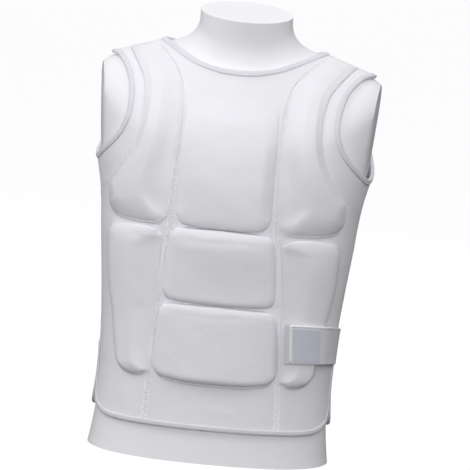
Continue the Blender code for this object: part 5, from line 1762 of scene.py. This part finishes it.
@dataclass
class SideStrap:
    """Webbing strap on the wearer's left, its bare patch and the loop tape it grips."""

    line: tuple = ((40, 172), (55, 171.5), (68, 168.5), (80, 163.5), (92, 158.5),
                   (110, 152.5), (130, 148))
    width: float = 50.0
    start: float = 45.0
    end: float = 127.0
    skew: float = 1.0
    leaves_pad: float = 62.5
    meets_cloth: float = 88.0
    past_binding: Pair = (92.0, 102.0)
    thickness: float = 1.6
    landing: Pair = (42.5, 54.5)
    landing_thickness: float = 1.0
    landing_clearance: float = 1.1
    landing_margin: float = 2.0
    patch: Pair = (46.6, 60.3)
    patch_thickness: float = 0.9
    patch_margin: float = 3.1
    piping_beyond: float = 0.6
    piping_radii: Pair = (1.7, 1.0)
    piping_share: float = 0.30
    spacing: float = 2.2
    mm_per_degree: float = 2.9
    # Creases across it where it leaves the pad: height, turn and half width.
    creases: tuple = ((-0.5, 62.6, 0.7), (0.35, 64.6, 1.1))
    selvedge: float = 0.25
    selvedge_edge: Pair = (0.86, 0.93)
    # Length of the flat cut for each length seen along its middle.
    ease: float = 1.06

    def grid(self, start: float, end: float, margin: float = 0.0) -> Array:
        """Surface points under a length of the strap.

        Args:
            start: Turn in degrees at its front end.
            end: Turn at its far end.
            margin: How far it stays inside the strap's edges.

        Returns:
            The points, in rows along the strap.
        """
        columns = max(6, round((end - start) * self.mm_per_degree / self.spacing))
        rows = max(5, round((self.width - 2.0 * margin) / self.spacing))
        turns = np.linspace(start, end, columns)
        middle = table_value(turns, np.array(self.line), 1)
        share = np.linspace(-1.0, 1.0, rows)
        turn_grid, share_grid = np.meshgrid(turns, share)
        return TORSO.turned(turn_grid - self.skew * share_grid,
                            middle[None, :] + share_grid * (self.width / 2 - margin))

    def low(self, grid: Array) -> Array:
        """Height of the strap's inner face: over the pad in front, then down to the cloth."""
        turns = TORSO.turns_of(grid)
        on_pad = (LAYERS.pad_low + LAYERS.pad_thickness + self.landing_thickness
                  + self.landing_clearance)
        share = np.clip((turns - self.leaves_pad) / (self.meets_cloth - self.leaves_pad), 0, 1)
        first, last = self.past_binding
        past = np.clip((turns - first) / (last - first), 0.0, 1.0)
        over = LAYERS.binding_clearance + LAYERS.binding_wall + LAYERS.strap_gap
        cloth = LAYERS.cloth_high + LAYERS.strap_gap + (over - LAYERS.strap_gap) * (1.0 - past)
        return cloth + (on_pad - cloth) * (1.0 - share) ** 2

    def declare(self, item: Item, grid: Array, held: Held, under: str,
                going: Sequence[Item] = ()) -> None:
        """Do nothing with a strap piece."""

    def piping(self, grid: Array, low: Array) -> Mesh:
        """Raised edge along the strap's top and its front end."""
        normal = TORSO.normals(grid)
        raised = grid + normal * (low + self.thickness)[..., None]
        last = int(grid.shape[1] * self.piping_share)
        up = unit(grid[-1] - grid[-2]) * self.piping_beyond
        top, top_normal = (raised[-1] + up)[:last][::-1], normal[-1, :last][::-1]
        front, front_normal = raised[1:-1, 0][::-1], normal[1:-1, 0][::-1]
        path = np.concatenate([top, front])
        return tube(path, np.concatenate([top_normal, front_normal]), self.piping_radii)

    def build(self) -> None:
        """Make the strap's pieces."""
        grid = self.grid(self.start, self.end)
        low = self.low(grid)
        rows = np.linspace(-1.0, 1.0, grid.shape[0])[:, None]
        turns = TORSO.turns_of(grid)
        crease = sum(height * np.exp(-((turns - turn) / width) ** 2)
                     for height, turn, width in self.creases)
        selvedge = self.selvedge * smoothstep(*self.selvedge_edge, np.abs(rows))
        face = low + self.thickness + crease + selvedge
        webbing = place("waist_strap_webbing", grid_wall(grid, low, face), FINISHES.webbing,
                        "webbing", ["waist_strap"])
        edge = place("waist_strap_edge", self.piping(grid, low), FINISHES.piping, "edge_tape")
        self.declare(webbing, grid, Held.STRETCHED, "side_pad_left_cover", [edge])
        grid = self.grid(*self.patch, margin=self.patch_margin)
        low = self.low(grid) + self.thickness + LAYERS.strap_gap
        patch = place("strap_patch_cloth", grid_wall(grid, low, low + self.patch_thickness),
                      FINISHES.patch, "patch", ["strap_patch"])
        self.declare(patch, grid, Held.LAID, "waist_strap_webbing")
        grid = self.grid(*self.landing, margin=-self.landing_margin)
        low = LAYERS.pad_low + LAYERS.pad_thickness + LAYERS.strap_gap
        landing = place("landing_patch_loops",
                        grid_wall(grid, low, low + self.landing_thickness), FINISHES.loop,
                        "loop_tape", ["landing_patch"])
        self.declare(landing, grid, Held.LAID, "side_pad_left_cover")


@dataclass
class DressForm:
    """Limbless moulded torso with flat cuts at the neck and the arms."""

    columns: int = 144
    rows: int = 210
    top: float = 640.0
    # Heights measured up to the shoulders, and the closer ones over them.
    shoulders: float = 480.0
    measured: tuple[int, int] = (120, 260)
    sharp: float = 0.6
    neck_cut: Pair = (-19.0, 598.0)
    neck_lean: float = 12.0
    arm_cut_x: float = 183.0
    arm_cut_height: float = 455.0
    arm_lean: float = 3.8
    arm_forward: float = 6.5
    arm_cut_low: float = 300.0

    def shell(self) -> Mesh:
        """The form before its cuts."""
        turns = np.linspace(0.0, 360.0, self.columns, endpoint=False)
        below, above = self.measured
        heights = np.concatenate([np.linspace(0.0, self.shoulders, below, endpoint=False),
                                  np.linspace(self.shoulders, self.top, above)])
        shares = np.linspace(0.0, 1.0, self.rows)
        lines = [along(TORSO.turned(np.full_like(heights, turn), heights, LAYERS.form), shares)
                 for turn in turns]
        points = np.stack(lines, axis=1).reshape(-1, 3)
        return points, sleeve(self.rows, self.columns)

    def cut(self, item: Item, point: Vector, direction: Vector) -> None:
        """Cut away what lies beyond a plane and close the cut with one flat face."""
        work = bmesh.new()
        work.from_mesh(item.data)
        faces = [face for face in work.faces
                 if min(v.co.z for v in face.verts) > self.arm_cut_low * MM]
        corners = sorted({v for face in faces for v in face.verts}, key=lambda v: v.index)
        edges = sorted({e for face in faces for e in face.edges}, key=lambda e: e.index)
        cut = bmesh.ops.bisect_plane(work, geom=corners + edges + faces, dist=1e-6,
                                     plane_co=point * MM, plane_no=direction,
                                     clear_outer=True)
        rim = [edge for edge in cut["geom_cut"] if isinstance(edge, bmesh.types.BMEdge)]
        bmesh.ops.contextual_create(work, geom=rim)
        bmesh.ops.recalc_face_normals(work, faces=work.faces)
        work.to_mesh(item.data)
        work.free()

    def build(self) -> None:
        """Make the form."""
        form = place("dress_form", self.shell(), FINISHES.form, "form_satin", ["torso_form"],
                     sharp=self.sharp)
        lean = math.radians(self.neck_lean)
        y, z = self.neck_cut
        self.cut(form, Vector((0.0, y, z)), Vector((0.0, -math.sin(lean), math.cos(lean))))
        forward, lean = math.radians(self.arm_forward), math.radians(self.arm_lean)
        for side in Side:
            direction = Vector((side.value * math.cos(forward), -math.sin(forward),
                                -math.sin(lean)))
            point = Vector((side.value * self.arm_cut_x, 0.0, self.arm_cut_height))
            self.cut(form, point, direction.normalized())
        form.data.shade_smooth()
        form.data.set_sharp_from_angle(angle=self.sharp)


@dataclass(frozen=True)
class SoftBox:
    """One round soft light: its place in metres, its size in metres and its watts."""

    name: str
    spot: Triple
    size: float
    power: float

    def build(self, aim: Vector) -> None:
        """Hang the light and point it at the object."""
        data = bpy.data.lights.new(self.name, "AREA")
        data.shape, data.size, data.energy = "DISK", self.size, self.power
        item = bpy.data.objects.new(self.name, data)
        bpy.context.collection.objects.link(item)
        item.location = self.spot
        item.rotation_euler = (aim - Vector(self.spot)).to_track_quat("-Z", "Y").to_euler()


@dataclass
class Studio:
    """Camera at the photograph's viewing angle, pale floor and soft light."""

    elevation: float = 6.5
    roll: float = 5.4
    distance: float = 3500.0
    mm_per_pixel: float = 1.35
    frame_pixels: int = 470
    axis_pixel: Pair = (227.0, 240.0)
    axis_height: float = 289.6
    aim_height: float = 0.36
    floor_reach: float = 90.0
    floor_glow: float = 0.8
    ceiling: float = 0.88
    sensor: float = 36.0
    far: float = 200.0
    lights: tuple[SoftBox, ...] = (
        SoftBox("front", (0.0, -3.2, 0.9), 1.2, 40.0),
        SoftBox("low front", (0.0, -2.6, 0.25), 1.0, 5.0),
        SoftBox("left", (-2.6, -0.3, 1.0), 1.2, 16.0),
        SoftBox("right", (2.6, -0.3, 1.0), 1.2, 4.0),
        SoftBox("top left", (-1.3, -1.0, 2.0), 0.9, 8.6),
        SoftBox("top right", (1.3, -1.0, 2.0), 0.9, 5.6),
        SoftBox("rim", (0.2, 1.8, 1.8), 1.2, 5.0),
    )

    def camera(self) -> None:
        """Camera that sees the object as the photograph does."""
        e, roll = math.radians(self.elevation), math.radians(self.roll)
        level, onward = Vector((1, 0, 0)), Vector((0, math.cos(e), -math.sin(e)))
        upward = Vector((0, math.sin(e), math.cos(e)))
        right = level * math.cos(roll) + upward * math.sin(roll)
        up = upward * math.cos(roll) - level * math.sin(roll)
        middle = self.frame_pixels / 2.0
        spot = Vector((0, 0, self.axis_height)) - onward * self.distance
        spot += right * (middle - self.axis_pixel[0]) * self.mm_per_pixel
        spot += up * (self.axis_pixel[1] - middle) * self.mm_per_pixel
        data = bpy.data.cameras.new("camera")
        data.sensor_width = self.sensor
        data.lens = self.sensor * self.distance / (self.frame_pixels * self.mm_per_pixel)
        data.clip_end = self.far
        item = bpy.data.objects.new("camera", data)
        bpy.context.collection.objects.link(item)
        columns = (right, up, -onward, spot * MM)
        item.matrix_world = Matrix([[column[row] for column in columns] for row in range(3)]
                                   + [[0.0, 0.0, 0.0, 1.0]])
        bpy.context.scene.camera = item

    def floor(self) -> None:
        """Pale board that reaches past the horizon and glows a little, as a lit sweep does."""
        reach = self.floor_reach
        data = bpy.data.meshes.new("floor")
        data.from_pydata([(-reach, -reach, 0), (reach, -reach, 0), (reach, reach, 0),
                          (-reach, reach, 0)], [], [(0, 1, 2, 3)])
        board = material(FINISHES.floor)
        shader = board.node_tree.nodes["Principled BSDF"]
        shader.inputs["Emission Color"].default_value = linear("#FFFFFF")
        shader.inputs["Emission Strength"].default_value = self.floor_glow
        data.materials.append(board)
        item = bpy.data.objects.new("floor", data)
        bpy.context.collection.objects.link(item)
        item.visible_diffuse = False
        item.visible_glossy = False

    def sky(self) -> None:
        """White ceiling that is brightest overhead and dark below the horizon."""
        world = bpy.data.worlds.new("studio")
        world.use_nodes = True
        tree = world.node_tree
        place = node(tree, "ShaderNodeTexCoord")
        parts = node(tree, "ShaderNodeSeparateXYZ", None, {"Vector": place.outputs["Generated"]})
        glow = node(tree, "ShaderNodeMapRange", {"To Max": self.ceiling},
                    {"Value": parts.outputs["Z"]})
        back = tree.nodes["Background"]
        back.inputs["Color"].default_value = linear("#FFFFFF")
        tree.links.new(glow.outputs["Result"], back.inputs["Strength"])
        bpy.context.scene.world = world

    def build(self) -> None:
        """Set the studio up."""
        self.camera()
        self.sky()
        self.floor()
        for light in self.lights:
            light.build(Vector((0.0, 0.0, self.aim_height)))
        bpy.context.scene.view_settings.view_transform = "Standard"


def main() -> None:
    """Build the studio, then every piece from the form outwards."""
    logging.basicConfig(level=logging.INFO, format="%(asctime)s %(message)s")
    Studio().build()
    seams = Seams()
    DressForm().build()
    cloth = BaseCloth(seams)
    cloth.build()
    Bindings(cloth).build()
    SeamStitching(cloth).build()
    Padding(cloth).build()
    SideStrap().build()


if __name__ == "__main__":
    main()
